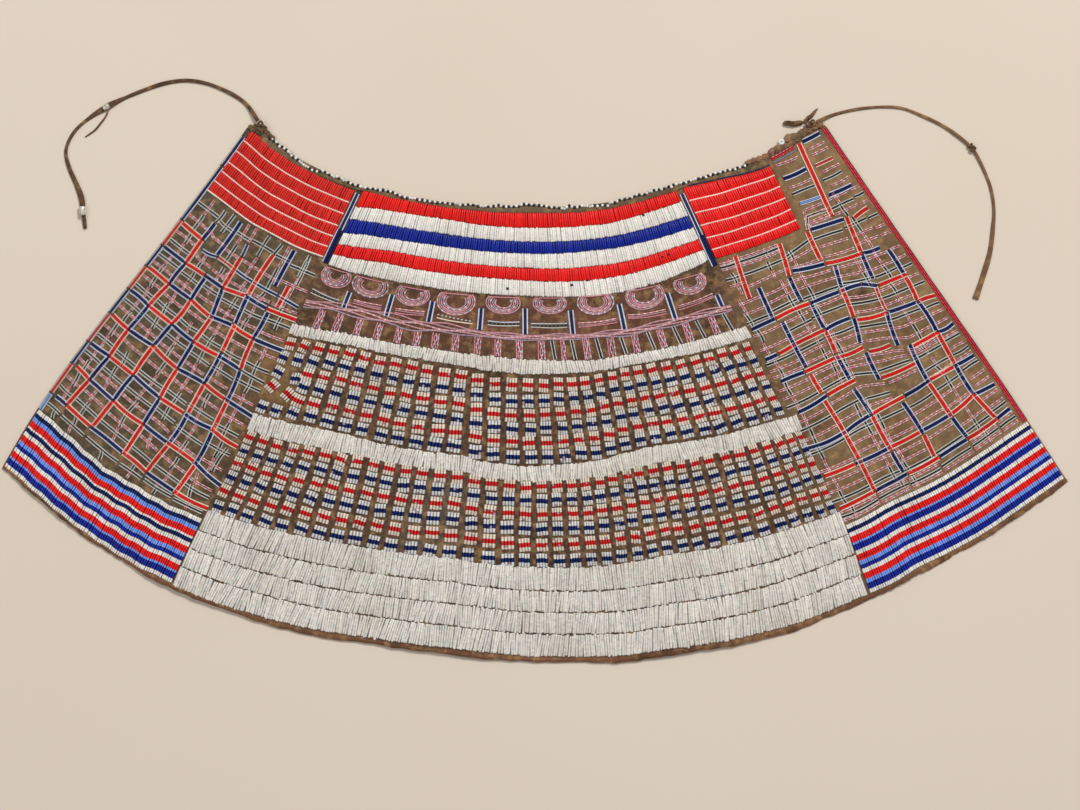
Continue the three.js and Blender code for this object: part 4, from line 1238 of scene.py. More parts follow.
def fine_lines(levels, posts, dense):
    """Fine lines along and across every cell between main rows and main columns."""
    level_at = [reader(points) for points in levels]
    post_at = [reader(points) for points in posts]
    runs = []
    for j in range(len(levels) - 1):
        top = lambda gore: level_at[j](gore) + GAP_DOWN
        bottom = lambda gore: level_at[j + 1](gore) - GAP_DOWN
        for i in range(len(posts) - 1):
            middle_down = 0.5 * (level_at[j](post_at[i](0.4)) + level_at[j + 1](post_at[i](0.4)))
            left, right = post_at[i](middle_down) + GAP_GORE, post_at[i + 1](middle_down) - GAP_GORE
            centre = (left + right) / 2
            cell_down = bottom(centre) - top(centre)
            if right - left < SMALLEST_CELL[0] or cell_down < SMALLEST_CELL[1]:
                continue
            if dense:
                shares = (0.2, 0.5, 0.8)
            else:
                shares = (0.3, 0.7) if cell_down > TALL_CELL else (0.5,)
            for n, share in enumerate(shares):
                if dense and rng.random() < 0.07:
                    continue
                gores = np.linspace(left, right, 5)
                downs = top(gores) + (bottom(gores) - top(gores)) * (share + rng.normal(0, 0.03))
                black = (j + n) % 3 == 1 if dense else (j + n) % 2 == 0
                runs += thin_line(gores, downs, "black" if black else "pink")
            middle = centre + rng.normal(0, 0.015)
            spots = (middle,) if right - left < WIDE_CELL else (middle - 0.16, middle + 0.16)
            for n, gore in enumerate(spots):
                if dense and (i + 2 * j + n) % 2:
                    continue
                high, low = float(top(gore)), float(bottom(gore))
                half = (high + low) / 2
                lean = rng.normal(0, 0.006)
                for part, (start, end) in enumerate(((high, half - 0.001), (half + 0.001, low))):
                    if end - start < 0.008 or rng.random() < 0.05:
                        continue
                    kind = "black" if (i + j + part + n) % 2 else "pink"
                    runs += thin_line(*between((gore - lean, start), (gore + lean, end)), kind)
    return runs


CORNER_LEVELS = (0.030, 0.045, 0.092, 0.128)  # short pink lines at the waist corner
BESIDE_RED_LEVELS = (  # short lines beside the end of the red panel
    (0.024, "pink"), (0.083, "pink"), (0.100, "black"), (0.160, "pink"), (0.174, "pink"),
)
TOP_ROWS = ((1.1, ("rose_red", "dusty_pink")), (-1.1, ("rose_red", "crimson")), (-4.6, ("grey_blue",)))
PURPLE_ROW = ((6.05, 0.0035), (6.6, 0.0042), (7.0, 0.0068), (7.4, 0.0115), (7.8, 0.0152), (7.98, 0.0160))

runs = lay_threads(LEFT_THREADS) + fine_lines(LEFT_LEVELS, LEFT_POSTS, dense=False)
bead_piece("left_plaid_beads", runs, mixed_glass, "mixed_beads", "left_plaid")
runs = lay_threads(RIGHT_THREADS) + fine_lines(RIGHT_LEVELS, RIGHT_POSTS, dense=True)
for level in CORNER_LEVELS:
    runs += thin_line(*between((8.60, level), (8.86, level + 0.004)), "pink")
for level, kind in BESIDE_RED_LEVELS:
    runs += thin_line(*between((8.06, level), (8.42, level + 0.008)), kind)
for offset, colours in TOP_ROWS:
    runs.append(string((8.05, 8.25, 8.45), (0.0058, 0.0062, 0.0068), colours, offset, half_width=1.15))
runs.append(string(*zip(*PURPLE_ROW), ("navy", "purple", "navy"), half_width=1.15, height=2.0))
bead_piece("right_plaid_beads", runs, mixed_glass, "mixed_beads", "right_plaid")

# %% [markdown]
# ## Dividers and edge lines
#
# A navy line runs down beside the stripe panel on each side. It starts slim, with pale beads on
# both sides, and goes on thicker, with pale beads on one side. The side edges have a line of their
# own. On the left it changes colour with the rows of the plaid, on the right it is one long
# rose-red line with a thin row of olive beads outside it.

# %% Dividers and edges


def down_the_gore(gore, top, bottom, count=12):
    """A path straight down one gore."""
    return np.full(count, gore, dtype=float), np.linspace(top, bottom, count)


DIVIDER_FROM, DIVIDER_TO = 0.019, 0.192
SLIM_DIVIDER = ((-2.0, "frost"), (0.0, "navy"), (2.0, "frost"))
THICK_DIVIDER = ((-2.7, "frost"), (-0.9, "navy"), (0.9, "navy"), (2.7, "navy"))


def divider(name, node, gore, thick_from):
    """Strings side by side down a gore, more of them below thick_from."""
    runs = []
    stretches = ((DIVIDER_FROM, thick_from, SLIM_DIVIDER), (thick_from, DIVIDER_TO, THICK_DIVIDER))
    for top, bottom, parts in stretches:
        for offset, colour in parts:
            path = down_the_gore(gore, top, bottom)
            runs.append(string(*path, colour, offset, half_width=1.0, height=2.1))
    return bead_piece(name, runs, navy_glass, "navy_beads", node)


divider("left_divider_beads", "left_divider", LEFT_DIVIDER, 0.11)
divider("right_divider_beads", "right_divider", RIGHT_DIVIDER, 0.12)

LEFT_EDGE_STOPS = (0.022, 0.110, 0.268, 0.343, 0.404, 0.471, 0.542, 0.626, 0.690, 0.777, 0.828)
LEFT_EDGE_COLOURS = ("navy", "navy", "red", "navy", "red", "navy", "rose_red", "navy", "red", "sky")
runs = []
for top, bottom, colour in zip(LEFT_EDGE_STOPS, LEFT_EDGE_STOPS[1:], LEFT_EDGE_COLOURS):
    t = np.linspace(top + 0.002, bottom - 0.002, 9)
    one_mm = 1 / gore_width(0.5, t)
    runs.append(string(2.6 * one_mm, t, colour, half_width=1.2, height=2.1))
    runs.append(string(4.7 * one_mm, t, pale_beside(colour), half_width=0.9))
    runs.append(string(0.9 * one_mm, t, "grey_white", half_width=0.7, height=1.3))
bead_piece("left_edge_beads", runs, navy_glass, "navy_beads", "left_edge_line")

RIGHT_EDGE_ROWS = (  # millimetres inside the edge, colours, half width
    (3.7, ("rose_red", "rose_red", "crimson"), 1.25), (1.6, ("crimson", "rose_red", "rose_red"), 1.15),
    (0.1, ("olive",), 0.7),
)
runs = []
t = np.linspace(0.006, 0.83, 40)
for inside, colours, half_width in RIGHT_EDGE_ROWS:
    runs.append(string(RIGHT_EDGE - inside / gore_width(8.5, t), t, colours, half_width=half_width))
bead_piece("right_edge_beads", runs, pink_glass, "pink_beads", "right_edge_line")

# %% [markdown]
# ## The arcade
#
# Below the stripes nine rings hang from the panel, each made of five strings laid one inside the
# other and closed by a short one at its top. Short bars stand between them, linked by thin lines.
# Below runs a pink rail of five wavy strings, and under it stand pillars of two strings with two
# more woven between them. Slim posts of black and pale beads stand in some gaps.

# %% Charts of the arcade
ARCH_TOP = 0.1985
RINGS = (  # gore of the middle, half width and fall in millimetres
    (2.17, 15.7, 20), (2.52, 19.1, 20), (2.92, 18.2, 19.5), (3.31, 20.1, 23.5), (3.715, 18.2, 18.7),
    (4.155, 18.0, 17.5), (4.64, 19.1, 21), (5.17, 21.0, 23), (5.65, 17.7, 19.5),
)
BARS = (  # gore, top, bottom
    (2.36, 0.239, 0.278), (2.74, 0.222, 0.273), (3.11, 0.221, 0.268), (3.53, 0.227, 0.2745),
    (3.91, 0.223, 0.280), (4.36, 0.228, 0.281), (4.89, 0.224, 0.281), (5.39, 0.222, 0.284),
    (5.87, 0.255, 0.283),
)
LINKS = (  # first gore and level, last gore and level, kind
    (2.00, 0.262, 2.30, 0.268, "grey"), (2.42, 0.257, 2.68, 0.256, "pink"),
    (2.80, 0.255, 3.06, 0.251, "pink"), (3.17, 0.2525, 3.47, 0.2595, "cream"),
    (3.59, 0.2575, 3.86, 0.2575, "grey"), (3.96, 0.260, 4.31, 0.260, "grey"),
    (4.42, 0.2615, 4.83, 0.258, "pink"), (4.95, 0.254, 5.33, 0.260, "pink"),
    (5.45, 0.259, 5.83, 0.254, "pink"),
)
LINK_STRINGS = {  # millimetres to the side, colours
    "pink": (
        (-2.1, ("pink", "dusty_pink")), (0.0, ("dusty_pink", "grey_pink")), (2.1, ("pink", "pink", "cream")),
    ),
    "grey": ((-2.0, ("grey_white",)), (0.0, ("olive", "black")), (2.0, ("grey_white", "frost"))),
    "cream": ((-1.6, ("cream",)), (1.6, ("grey_white", "olive"))),
}
RAIL = (  # gore, top and bottom of the rail
    (1.98, 0.286, 0.302), (2.2, 0.275, 0.294), (2.5, 0.266, 0.288), (2.9, 0.265, 0.290),
    (3.25, 0.268, 0.289), (3.45, 0.2735, 0.287), (3.7, 0.280, 0.2925), (4.05, 0.280, 0.2925),
    (4.55, 0.281, 0.291), (4.95, 0.279, 0.295), (5.2, 0.278, 0.293), (5.5, 0.278, 0.2945),
    (5.8, 0.282, 0.296), (6.0, 0.284, 0.297),
)
PILLARS = (2.19, 2.36, 2.54, 2.71, 2.88, 3.04, 3.19, 3.35, 3.525, 3.685, 3.86, 4.05, 4.26, 4.48, 4.725, 4.97,
           5.22, 5.46, 5.715)
NARROW_PILLAR = 4.26  # has no string on its right
PALE_POSTS = (4.16, 4.35, 4.60, 4.85, 5.12, 5.36, 5.58, 5.86)


def arc(gore, half, fall, inner):
    """A ring open at its top, as a path of gores and downs; inner is how far inside the outermost."""
    turn = np.linspace(-0.6, math.pi + 0.6, 21)
    shrink = (half - inner) / half
    across = (half - inner) / gore_width(gore, ARCH_TOP)
    drop = fall / gore_length(gore)
    return gore - across * np.cos(turn), ARCH_TOP + drop * (0.36 + 0.64 * shrink * np.sin(turn))


# %% [markdown]
# ### Rings
#
# Each ring is a little more than a half circle, with its own width and fall.

# %% Rings of the arcade
STRINGS_A_RING = 5
RING_STEP = 2.3
RING_COLOURS = (
    ("dusty_pink", "pink", "grey_pink"), ("dusty_pink", "frost", "grey_pink"), ("grey_pink", "dusty_pink"),
    ("dusty_pink", "grey_white", "pink"), ("grey_pink", "dusty_pink"),
)
runs = []
for k, (gore, half, fall) in enumerate(RINGS):
    for n in range(STRINGS_A_RING):
        path = arc(gore, half, fall, 0.2 + RING_STEP * n)
        colours = RING_COLOURS[(n + k) % len(RING_COLOURS)]
        runs.append(string(*path, colours, half_width=1.3, height=1.7, wander=0.25))
    reach = (half - 3) / gore_width(gore, ARCH_TOP)
    chord = between((gore - reach, ARCH_TOP + 0.0015), (gore + reach, ARCH_TOP + 0.0015))
    runs.append(string(*chord, ("pink", "dusty_pink"), half_width=0.95, height=1.6))
bead_piece("arcade_arch_beads", runs, pink_glass, "pink_beads", "arcade_arches")

# %% [markdown]
# ### Bars, links, rail and pillars
#
# All of these are strings too, joined into one piece, because they cross and touch each other.

# %% Lattice of the arcade
runs = []
for gore, top, bottom in BARS:
    for offset, colour in ((-2.35, "frost"), (0.0, "navy"), (2.35, "frost")):
        path = down_the_gore(gore, top, bottom, 6)
        runs.append(string(*path, colour, offset, half_width=1.25, height=2.1))
for first, level, last, last_level, kind in LINKS:
    path = np.linspace(first, last, 12), np.linspace(level, last_level, 12)
    for offset, colours in LINK_STRINGS[kind]:
        runs.append(string(*path, colours, offset, half_width=1.0, height=1.5, bow=-0.5, wander=0.3))
rail_gores, rail_tops, rail_bottoms = (np.array(column) for column in zip(*RAIL))
along = np.linspace(1.99, 5.97, 90)
rail_top = np.interp(along, rail_gores, rail_tops)
rail_deep = np.interp(along, rail_gores, rail_bottoms) - rail_top
RAIL_COLOURS = (
    ("pink", "dusty_pink", "grey_pink"), ("grey_pink", "dusty_pink"), ("dusty_pink", "grey_white", "pink"),
    ("pink", "grey_pink"), ("grey_blue", "dusty_pink", "grey_pink"),
)
for k, colours in enumerate(RAIL_COLOURS):
    share = 0.04 + 0.23 * k + 0.12 * np.sin(13 * along + 1.7 * k)
    runs.append(string(along, rail_top + rail_deep * share, colours, half_width=1.35, height=1.7, wander=0.4))


LANE_TOP = 0.3325


def below_rail(gore, count):
    """A path straight down from the rail to the white lane."""
    top = float(np.interp(gore, rail_gores, rail_bottoms)) + 0.001
    return down_the_gore(gore, top, LANE_TOP + float(stray(gore, 0.335)), count)


for k, gore in enumerate(PILLARS):
    gores, downs = below_rail(gore, 13)
    one_mm = 1 / float(gore_width(gore, downs[0]))
    for offset, colours in ((-3.2, ("pink", "dusty_pink")), (3.2, ("dusty_pink", "pink", "frost"))):
        if gore == NARROW_PILLAR and offset > 0:
            continue
        runs.append(string(gores, downs, colours, offset, half_width=1.1, height=1.6, wander=0.3))
    for side, colours in ((1.4, ("pink", "frost")), (-1.4, ("grey_pink", "pink"))):
        weave = side * np.sin(np.linspace(0, 1.7 * np.pi, 13) + k) * one_mm
        runs.append(string(gores + weave, downs, colours, half_width=1.1, height=1.5))
for gore in PALE_POSTS:
    gores, downs = below_rail(gore, 5)
    path = gores + np.linspace(-0.012, 0.012, 5), downs
    for offset, colour in ((-1.5, "grey_white"), (0.0, "black"), (1.5, "grey_white")):
        runs.append(string(*path, colour, offset, half_width=0.85, height=1.4))
bead_piece("arcade_lattice_beads", runs, pink_glass, "pink_beads", "arcade_lattice")

# %% [markdown]
# ## The hide
#
# The hide is a grid bent onto the fan by the same rule as the beads, then given its thickness by
# Solidify. More rows lie near the hem, where the edge is turned up into a narrow roll. Its shade
# goes from grey olive on the left, through a brown that is darkened in the middle as painted shade
# between the bead blocks, to tan on the right, kept on its points.

# %% Hide
ACROSS_STEPS = 200
DOWN_STEPS = 88
HEM_ROWS = 15
HEM_FROM = 0.980
# From gore 2.1 to 5.8 the brown is partly the leather's own colour and partly painted shade, darkened for the
# shadows between the bead blocks.
SHADES = (  # gore, and the shade of the bare hide there
    (0.0, (84, 78, 62)), (1.75, (88, 78, 60)), (2.1, (84, 64, 46)), (4.0, (80, 61, 44)),
    (5.8, (84, 64, 46)), (6.2, (128, 106, 76)), (8.2, (132, 108, 76)), (9.0, (138, 112, 80)),
)
STAINS = (  # gore, down, reach in gores, reach down, strength, shade
    (4.0, 0.265, 2.05, 0.075, 0.9, (108, 70, 54)), (5.98, 0.145, 0.09, 0.035, 0.9, (52, 42, 34)),
    (5.90, 0.218, 0.10, 0.050, 0.9, (52, 42, 34)), (5.82, 0.262, 0.10, 0.030, 0.8, (56, 46, 38)),
    (1.98, 0.445, 0.20, 0.050, 0.9, (150, 118, 76)), (2.12, 0.505, 0.20, 0.030, 0.7, (146, 112, 70)),
    (8.14, 0.372, 0.16, 0.026, 0.9, (66, 44, 34)), (8.20, 0.335, 0.08, 0.020, 0.7, (70, 52, 40)),
    (3.35, 0.690, 0.20, 0.110, 0.5, (104, 100, 92)), (6.25, 0.235, 0.18, 0.060, 0.7, (156, 116, 78)),
    (6.30, 0.600, 0.25, 0.035, 0.6, (84, 62, 46)), (8.30, 0.080, 0.6, 0.07, 0.4, (150, 122, 84)),
    (2.9, 0.45, 0.5, 0.06, 0.3, (100, 92, 66)), (5.2, 0.70, 0.8, 0.07, 0.3, (104, 84, 60)),
    (1.85, 0.60, 0.2, 0.12, 0.5, (116, 92, 62)),
)
ROLL_LEATHER = (124, 86, 60)
HEM_STRAYS = (  # gore, how far the hem is below an even arc there, in thousandths of the length
    (0.0, 2), (0.5, 0), (1.0, 0), (1.5, -1), (2.05, 6), (2.3, 8), (2.5, 6), (2.7, 3), (2.9, -4), (3.1, -9),
    (3.5, -8), (3.9, 0), (4.3, 2), (4.5, 3), (4.7, -1), (4.9, 0), (5.1, 2), (5.5, 7), (5.9, -1), (6.2, -10),
    (6.7, -8), (7.1, -5), (7.4, -7), (8.05, -6), (8.5, 2), (9.0, 6),
)

bpy.ops.object.select_all(action="DESELECT")
bpy.ops.mesh.primitive_grid_add(x_subdivisions=ACROSS_STEPS, y_subdivisions=DOWN_STEPS, size=1)
hide = bpy.context.object
hide.name = "skirt_hide"
mesh = hide.data
flat = np.array([v.co[:] for v in mesh.vertices])
gore = (flat[:, 0] + 0.5) * RIGHT_EDGE
row = (0.5 - flat[:, 1]) * DOWN_STEPS
down = np.interp(row, [0, DOWN_STEPS - HEM_ROWS, DOWN_STEPS], [0, HEM_FROM, 1.0])
near_hem = np.clip((down - 0.9) / 0.1, 0, 1)
x, y = plan(gore, down + np.interp(gore, *zip(*HEM_STRAYS)) / 1000 * near_hem)

# %% [markdown]
# ### Its hem
#
# The hem is a narrow roll of uneven height, and its edge wavers. Sums of sines of different lengths
# do both, so that no stretch of it looks like the next.

# %% Hem roll
ROLL_HEIGHT = 1.4
ROLL_MIDDLE = 0.9945
ROLL_HALF = 0.006
lumps = 0.5 + 0.5 * np.sin(gore * 9.1) * np.sin(gore * 4.3 + 1)
lumps += 0.35 * np.sin(gore * 61) * np.sin(gore * 37 + 2) + 0.25 * np.sin(gore * 143 + 1)
roll_high = ROLL_HEIGHT * np.clip(1 - np.abs((down - ROLL_MIDDLE) / ROLL_HALF), 0, 1) ** 0.6
roll_high *= 0.75 + 0.35 * lumps
waver = (0.7 * np.sin(gore * 7.3) + 0.5 * np.sin(gore * 17.1 + 2) + 0.45 * np.sin(gore * 53)
         + 0.3 * np.sin(gore * 97 + 1))
y -= np.clip((down - 0.985) / 0.015, 0, 1) * waver
z = HIDE + rise(gore, down) + roll_high
mesh.vertices.foreach_set("co", (np.stack([x, y, z], axis=1) * MM).ravel())

# %% [markdown]
# ### Its shade
#
# The shade changes slowly from gore to gore. Stains are soft ovals laid over it one by one, and the
# roll of the hem is redder than the rest, with painted light where it stands high and painted shade
# where it is low.

# %% Shade of the hide
tints = np.array([linear(rgb) for _, rgb in SHADES])
shade_gores = [stop for stop, _ in SHADES]
tint = np.stack([np.interp(gore, shade_gores, tints[:, c]) for c in range(3)], axis=1)
for at, level, reach_gore, reach_down, strength, rgb in STAINS:
    away = ((gore - at) / reach_gore) ** 2 + ((down - level) / reach_down) ** 2
    share = strength * np.exp(-1.2 * away ** 2)[:, None]
    tint = tint * (1 - share) + linear(rgb) * share
# Painted light and shade on the roll: its colour follows the lumps of its height, lighter high up and darker
# low down.
on_roll = np.clip((down - 0.984) / 0.006, 0, 1)[:, None]
tint = tint * (1 - on_roll) + linear(ROLL_LEATHER) * (0.7 + 0.35 * lumps[:, None]) * on_roll
paint(mesh, "shade", "POINT", tint)
mesh.update()

bpy.context.view_layer.objects.active = hide
thickness = hide.modifiers.new("thickness", "SOLIDIFY")
thickness.thickness = HIDE * MM
thickness.offset = -1
bpy.ops.object.modifier_apply(modifier="thickness")
bpy.ops.object.shade_smooth_by_angle(angle=math.radians(50))
settle(hide, hide_leather, "hide", "hide")
print("hide faces", len(hide.data.polygons), "lowest", min(v.co.z for v in hide.data.vertices))

# %% [markdown]
# ## Waist edging
#
# A rolled strip of leather finishes the waist. Its outer side follows the round beads that are
# whipped along it, and its inner side follows the beginning of the beadwork, so its width changes.

# %% Waist roll
EDGING_FROM = 0.30
EDGING_TO = 7.98
ROLL_HALF_HEIGHT = 0.85
EDGING_LEVELS = (  # gore, and the level of the round beads there in thousandths
    (0.38, -8.5), (0.5, -6.5), (0.6, -2), (0.68, -4), (0.8, -3), (0.9, 3), (1.0, 4), (1.1, 7),
    (1.2, 9), (1.3, 5), (1.4, 2), (1.8, 1), (2.0, 2), (2.2, -2), (2.4, -3), (2.5, 2), (2.8, 3),
    (3.4, 1), (3.8, -1), (3.95, -6),
    (4.1, -5), (4.2, 0), (4.4, 3), (4.6, 1), (4.8, 4), (5.0, 5), (5.2, 0), (5.4, -2), (5.8, -3), (6.2, -5),
    (6.6, -7), (7.0, -7), (7.2, -4.5), (7.4, -3), (7.64, -5),
)
SEWING_TOPS = (  # gore, and where the beadwork begins
    (0.3, 8), (0.5, 11), (0.9, 14), (1.9, 12), (2.1, 8), (2.7, 9), (3.6, 13), (4.2, 12), (4.6, 14), (5.3, 13),
    (5.9, 10), (6.2, 3), (7.0, 6), (7.4, 11), (7.8, 15), (8.0, 16),
)


def level_of(table, gore):
    """The level that a table of thousandths gives at a gore."""
    return np.interp(gore, *zip(*table)) / 1000


walk = np.linspace(EDGING_FROM, EDGING_TO, 260)
corner_swell = 0.004 * np.exp(-((walk - 0.7) / 0.25) ** 2)
outer = np.minimum(level_of(EDGING_LEVELS, walk) + 0.001, 0.001) - corner_swell
inner = level_of(SEWING_TOPS, walk) + 0.0015
x, y = plan(walk, (outer + inner) / 2)
z = ON_HIDE + 0.9 + rise(walk, 0.0)
roll_width = (inner - outer) / 2 * gore_length(4.0)
roll_width *= 1 + 0.06 * np.sin(walk * 29) + 0.05 * np.sin(walk * 71)
roll = tube("waist_roll", np.stack([x, y, z], axis=1), roll_width, ROLL_HALF_HEIGHT)
settle(roll, leather("rolled_leather", (112, 98, 74), 0.6), "hide", "waist_edging")
print("waist roll", round(float(2 * roll_width.min()), 1), "to", round(float(2 * roll_width.max()), 1), "mm")

# %% [markdown]
# ## Round beads
#
# Round beads, mostly black and white in turn, edge the waist. One ball is modelled and copied, each
# copy with a size and a place that are a little off, and all the copies are joined. The same helper
# makes the puckered leather of the corners.

# %% Round beads of the waist
BEADS_TO = 7.64
ROUND_BEAD = 3.3
ROUND_STEP = 2.75


def ball(segments, rings, radius):
    """The points and faces of a ball at the origin."""
    bpy.ops.object.select_all(action="DESELECT")
    bpy.ops.mesh.primitive_uv_sphere_add(segments=segments, ring_count=rings, radius=radius)
    pattern = bpy.context.object
    points = np.array([v.co[:] for v in pattern.data.vertices])
    faces = [tuple(p.vertices) for p in pattern.data.polygons]
    bpy.data.objects.remove(pattern)
    return points, faces


def joined_copies(name, copies, faces):
    """One smooth mesh from copies of a shape: the points of each, and the faces they share."""
    all_faces = []
    for k, points in enumerate(copies):
        all_faces += [tuple(len(points) * k + corner for corner in face) for face in faces]
    mesh = bpy.data.meshes.new(name)
    mesh.from_pydata((np.concatenate(copies) * MM).tolist(), [], all_faces)
    mesh.shade_smooth()
    return mesh


def round_beads(name, places, sizes, names, material, slot):
    """Round beads at places, each with its own size and colour, in one mesh."""
    points, faces = ball(8, 5, 0.5)
    colours = coloured(names, 0.08)
    mesh = joined_copies(name, [points * size + place for place, size in zip(places, sizes)], faces)
    paint(mesh, "glass", "FACE", np.repeat(colours, len(faces), axis=0))
    return settle(new_piece(name, mesh), material, slot)


fine = np.linspace(EDGING_LEVELS[0][0], BEADS_TO, 800)
gone = distance_along(*plan(fine, level_of(EDGING_LEVELS, fine)))
count = int(gone[-1] / ROUND_STEP)
at = np.interp((np.arange(count) + 0.5) * ROUND_STEP, gone, fine)
x, y = plan(at, level_of(EDGING_LEVELS, at) + 0.0012 * rng.standard_normal(count))
z = ON_HIDE + 1.9 + 0.15 * rng.standard_normal(count)
sizes = ROUND_BEAD * (1 + 0.06 * rng.standard_normal(count))
names = np.where(np.arange(count) % 2, "white", "black")
names = np.where(rng.random(count) < 0.12, "grey_white", names)
round_beads("waist_edging_beads", np.stack([x, y, z], axis=1), sizes, names, edge_glass, "mixed_beads")
print(count, "round beads")

# %% [markdown]
# ## Leather at the two waist corners
#
# At each corner the hide ends in puckered bits of leather, and the ties are knotted through them.
# Each bit is a ball that is squashed, turned and wrinkled, with painted shade in the troughs of its
# wrinkles, and all the bits of a corner are joined.
# One round bead and one ring bead are sewn among those on the right.

# %% Puckered leather
LEFT_BITS = (  # x, y, half length, half width, height, turn, shade; millimetres
    (-304.6, 286.0, 5.0, 3.6, 2.4, -0.6, (122, 104, 74)), (-300.2, 287.0, 4.6, 3.8, 3.0, 0.5, (104, 88, 62)),
    (-295.6, 285.6, 5.2, 3.8, 3.2, -0.7, (92, 76, 54)), (-291.0, 283.2, 4.8, 3.4, 2.8, -0.4, (116, 98, 72)),
    (-286.8, 279.6, 4.6, 3.0, 2.4, -0.9, (98, 84, 60)), (-283.0, 276.2, 3.8, 2.6, 2.0, -0.6, (110, 92, 66)),
    (-297.5, 282.4, 5.0, 2.6, 1.8, -0.6, (118, 106, 72)),
    (-290.0, 278.8, 5.0, 2.4, 1.6, -0.6, (112, 100, 70)),
)
RIGHT_BITS = (
    (230.5, 249.5, 4.6, 2.6, 1.8, 0.4, (176, 138, 112)), (236.3, 251.3, 4.2, 3.0, 2.2, 0.5, (168, 128, 104)),
    (242.5, 253.4, 4.6, 3.2, 2.2, 0.3, (182, 142, 112)), (248.6, 255.8, 4.2, 3.2, 2.4, 0.6, (190, 136, 100)),
    (255.6, 261.4, 4.4, 3.4, 2.6, 0.9, (186, 132, 124)), (260.6, 264.2, 4.0, 3.0, 2.4, 0.5, (150, 124, 92)),
    (268.5, 267.2, 4.8, 2.6, 2.0, 0.6, (134, 108, 80)), (273.6, 275.4, 5.6, 4.0, 3.0, 0.7, (162, 126, 100)),
    (279.6, 277.4, 5.0, 3.8, 3.0, 0.4, (142, 120, 88)), (284.0, 277.6, 4.2, 3.4, 2.6, -0.4, (108, 104, 70)),
    (287.0, 281.6, 4.4, 3.0, 2.4, 0.8, (122, 112, 78)), (294.2, 284.0, 6.4, 4.4, 3.0, 0.5, (134, 98, 72)),
    (301.6, 287.6, 6.2, 4.2, 3.0, 0.5, (128, 92, 66)), (307.4, 289.4, 4.6, 3.4, 2.4, 0.2, (120, 86, 60)),
    (290.5, 279.6, 4.4, 2.4, 1.6, 0.5, (104, 92, 64)), (264.0, 263.4, 5.4, 2.6, 1.6, 0.5, (140, 108, 88)),
    (271.0, 266.8, 5.4, 3.0, 1.6, 0.5, (136, 104, 84)), (277.6, 270.6, 5.4, 3.2, 1.7, 0.5, (130, 100, 80)),
    (283.6, 273.8, 5.0, 3.0, 1.6, 0.5, (126, 104, 76)),
)
FLATTENED_BELOW = 0.5


def puckered_bits(name, node, bits):
    """Small squashed and wrinkled balls of leather, joined into one piece with a shade each and painted shade
    in their wrinkles.
    """
    unit, faces = ball(20, 12, 1.0)
    copies, tints_with_painted_shade = [], []
    for k, (x, y, long, wide, high, turn, rgb) in enumerate(bits):
        wrinkle = 1 + 0.10 * np.sin(5 * unit[:, 0] + 7 * unit[:, 1] + k)
        wrinkle += 0.07 * np.sin(11 * unit[:, 1] - 3 * k)
        shape = unit * (long, wide, high) * wrinkle[:, None]
        shape[:, 2] *= np.where(unit[:, 2] < 0, FLATTENED_BELOW, 1.0)
        copies.append(np.stack([
            shape[:, 0] * math.cos(turn) - shape[:, 1] * math.sin(turn) + x,
            shape[:, 0] * math.sin(turn) + shape[:, 1] * math.cos(turn) + y,
            shape[:, 2] + HIDE + 1.2,
        ], axis=1))
        # Painted shade and light: the colour is darker in the troughs of the wrinkles and lighter on their
        # ridges.
        tints_with_painted_shade.append(np.outer(0.78 + 0.3 * (wrinkle - 0.85), linear(rgb)))
    mesh = joined_copies(name, copies, faces)
    paint(mesh, "shade", "POINT", np.concatenate(tints_with_painted_shade))
    return settle(new_piece(name, mesh), lump_leather, "hide", node)


puckered_bits("left_tab_leather", "left_waist_tab", LEFT_BITS)
puckered_bits("right_tab_leather", "right_waist_tab", RIGHT_BITS)
round_beads("corner_beads", [(288.1, 286.0, 5.6)], [2.8], ["white"], edge_glass, "mixed_beads")

RING_PLACE = (266.4 * MM, 271.4 * MM, 4.6 * MM)
RING_RADIUS = 2.1 * MM
RING_THICK = 1.25 * MM
bpy.ops.object.select_all(action="DESELECT")
bpy.ops.mesh.primitive_torus_add(
    location=RING_PLACE, major_radius=RING_RADIUS, minor_radius=RING_THICK,
    major_segments=28, minor_segments=12,
)
ring_bead = bpy.context.object
ring_bead.name = "corner_ring_bead"
bpy.ops.object.transform_apply(location=True, rotation=True, scale=True)
bpy.ops.object.shade_smooth()
paint(ring_bead.data, "glass", "FACE", np.tile(GLASS["white"], (len(ring_bead.data.polygons), 1)))
settle(ring_bead, edge_glass, "mixed_beads")

# %% [markdown]
# ## Knots
#
# A knot is one thong that winds over and under itself. Its middle follows two waves across each
# other, as in a woven ball, and rises and falls between the crossings.

# %% Knots


def knot(name, node, place, half_sizes, turn, winds, thong, material):
    """A knot of a thong so wide, with its half sizes along, across and up, turned on the floor."""
    x, y, z = place
    half_x, half_y, half_z = half_sizes
    angle = np.linspace(0, 2 * np.pi, 40 * winds)
    across = half_x * 0.78 * np.sin(winds * angle)
    along = half_y * 0.78 * np.sin((winds + 1) * angle + 0.6)
    places = np.stack([
        x + across * math.cos(turn) - along * math.sin(turn),
        y + across * math.sin(turn) + along * math.cos(turn),
        z + half_z * 0.55 * np.cos((2 * winds + 1) * angle),
    ], axis=1)
    return settle(tube(name, places, thong / 2, thong / 2.4, sides=8), material, "thong", node)


